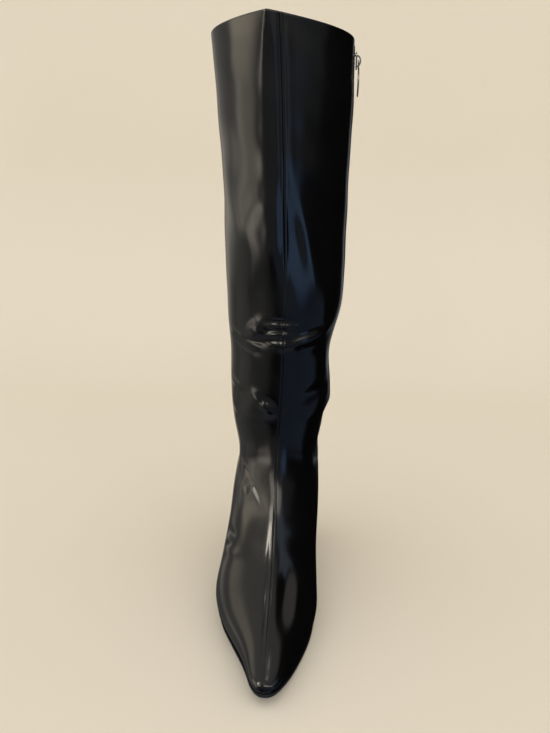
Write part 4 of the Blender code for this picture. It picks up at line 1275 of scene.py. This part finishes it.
def sweep_points():
    """The paper: flat, then a quarter circle, then upright, the same all across."""
    turn = np.linspace(0, math.pi / 2, 24)
    y = np.concatenate((np.linspace(-3.0, SWEEP_BACK, 12)[:-1], SWEEP_BACK + SWEEP_RADIUS * np.sin(turn),
                        np.full(6, SWEEP_BACK + SWEEP_RADIUS)))
    z = np.concatenate((np.zeros(11), SWEEP_RADIUS * (1 - np.cos(turn)),
                        np.linspace(SWEEP_RADIUS, 3.0, 7)[1:]))
    return points_of(np.linspace(-3.0, 3.0, 9)[:, None], y, z)


def paper_material():
    """Pale matt paper with a faint slow unevenness."""
    material, shader = new_material("pale_paper", (0.87, 0.80, 0.675, 1), {"Roughness": 0.9})
    tree = material.node_tree
    uneven = noise(tree, object_place(tree), 3.0, 3.0)
    tint = blend_colours(tree, uneven, (0.85, 0.78, 0.655, 1), (0.89, 0.82, 0.695, 1))
    tree.links.new(tint, shader.inputs["Base Color"])
    return material


sweep = sweep_points()
quads = grid_quads(*sweep.shape[:2], closed_across=False)[:, ::-1]
floor_mesh = bpy.data.meshes.new("paper_sweep")
floor_mesh.from_pydata(sweep.reshape(-1, 3).tolist(), [], quads.tolist())
floor_mesh.shade_smooth()
floor_mesh.materials.append(paper_material())
floor = bpy.data.objects.new("paper_sweep", floor_mesh)
bpy.context.scene.collection.objects.link(floor)


# The room by direction, in degrees: azimuth 0 is in front of the toe and 90 on the inner side.
# Each soft-edged patch covers what stands above it here. Radiance is red, green, blue.
# Columns: name, azimuth, elevation, half width, half height, softness, radiance.
ROOM = (
    ("ceiling", 0, 80, 200, 27, 8, (0.46, 0.44, 0.41)),
    ("upper left room", -92, 55, 100, 20, 12, (0.56, 0.54, 0.48)),
    ("left room", -110, 16, 55, 30, 10, (0.46, 0.44, 0.39)),
    ("left wall further back", -130, 0, 24, 7, 8, (0.72, 0.66, 0.58)),
    ("left wall below", -86, -1, 14, 6, 9, (1.20, 1.11, 0.97)),
    ("left corner", -112, 22, 22, 14, 8, (0.38, 0.37, 0.34)),
    ("wall over the left corner", -103, 35, 9, 11, 8, (1.25, 1.16, 0.93)),
    ("left wall by the door", -74, 6, 10, 8, 6, (1.65, 1.53, 1.32)),
    ("low lamp on the left", -56, -8, 12.5, 10.5, 6, (2.50, 2.28, 1.95)),
    ("left wall behind", -160, -8, 18, 24, 12, (0.40, 0.34, 0.27)),
    ("light behind the inner side", 162, 16, 12, 34, 12, (0.22, 0.23, 0.25)),
    ("floor under the toe", -30, -68, 80, 24, 12, (0.17, 0.17, 0.19)),
    ("left floor", -84, -30, 50, 20, 16, (0.18, 0.18, 0.17)),
    ("foot of the left wall", -92, -19, 15, 9, 10, (0.34, 0.33, 0.29)),
    ("front", -8, 18, 40, 34, 7, (0.15, 0.155, 0.165)),
    ("doorway", -4, 26, 10, 8, 6, (0.08, 0.08, 0.08)),
    ("front floor", -18, -48, 34, 12, 12, (0.22, 0.23, 0.30)),
    ("cloth on the floor", 48, -30, 50, 20, 10, (0.09, 0.13, 0.20)),
    ("right wall", 52, 18, 20, 10, 8, (0.12, 0.125, 0.13)),
    ("edge of the window", 41, 8, 4, 13, 4, (0.28, 0.31, 0.38)),
    ("sky in the window", 68, 37, 18, 10, 6, (0.42, 0.50, 0.62)),
    ("low window", 44, 0, 9, 8, 5, (0.30, 0.50, 0.86)),
    ("wall in the light", -68, 14, 8, 16, 6, (1.15, 1.05, 0.88)),
    ("warm wall", -77, 22, 12, 8, 6, (2.10, 1.85, 1.45)),
    ("lamp's arm", -48, 22, 4, 12, 3, (2.40, 2.20, 1.90)),
    ("lamp's stem", -54, 36, 4, 8, 3, (5.00, 4.60, 4.00)),
    ("shade of the left lamp", -54, 37, 5, 6, 3, (6.5, 6.0, 5.2)),
    ("lamp on the left", -58, 47, 5, 6, 3, (14.0, 12.8, 11.0)),
    ("lamp in front", -37, 30, 7, 7, 4, (4.6, 4.3, 3.8)),
    ("glow on the right", 24, 33, 28, 7, 5, (2.20, 2.05, 1.85)),
    ("lamp on the right", 14, 40, 5, 6, 3, (5.5, 5.0, 4.4)),
    ("lamp overhead", 86, 84, 30, 4, 3, (2.6, 2.4, 2.2)),
)
EVEN_LIGHT = (0.95, 0.93, 0.90, 1)
FAR_PAPER = (0.80, 0.72, 0.61, 1)
DARK_CORNERS = (0.004, 0.004, 0.004, 1)


def soft_step(tree, angle, middle, half, soft):
    """One where an angle is within half a width of a middle, and zero past a soft edge."""
    off = maths(tree, "ABSOLUTE", maths(tree, "SUBTRACT", angle, middle))
    return spread(tree, off, half - soft / 2, half + soft / 2, 1.0, 0.0)


def room_light():
    """The light of the room as the world's colour. Polished surfaces reflect the patches of the
    room, plain ones get an even light, and past the paper's edge its own tone goes on."""
    world = bpy.data.worlds.new("room")
    world.use_nodes = True
    tree = world.node_tree
    x, y, z = split(tree, tree.nodes.new("ShaderNodeTexCoord").outputs["Generated"])
    azimuth = maths(tree, "DEGREES", maths(tree, "ARCTAN2", x, maths(tree, "MULTIPLY", y, -1.0)))
    elevation = maths(tree, "DEGREES", maths(tree, "ARCSINE", z))
    seen = DARK_CORNERS
    for _, at_azimuth, at_elevation, half_across, half_up, soft, radiance in ROOM:
        patch = maths(tree, "MULTIPLY", soft_step(tree, azimuth, at_azimuth, half_across, soft),
                      soft_step(tree, elevation, at_elevation, half_up, soft))
        seen = blend_colours(tree, patch, seen, (*radiance, 1))
    path = tree.nodes.new("ShaderNodeLightPath")
    plain = blend_colours(tree, path.outputs["Is Camera Ray"], EVEN_LIGHT, FAR_PAPER)
    colour = blend_colours(tree, path.outputs["Is Glossy Ray"], plain, seen)
    tree.links.new(colour, tree.nodes["Background"].inputs["Color"])
    return world


floor.visible_glossy = False
bpy.context.scene.world = room_light()
bpy.context.scene.view_settings.view_transform = "Standard"
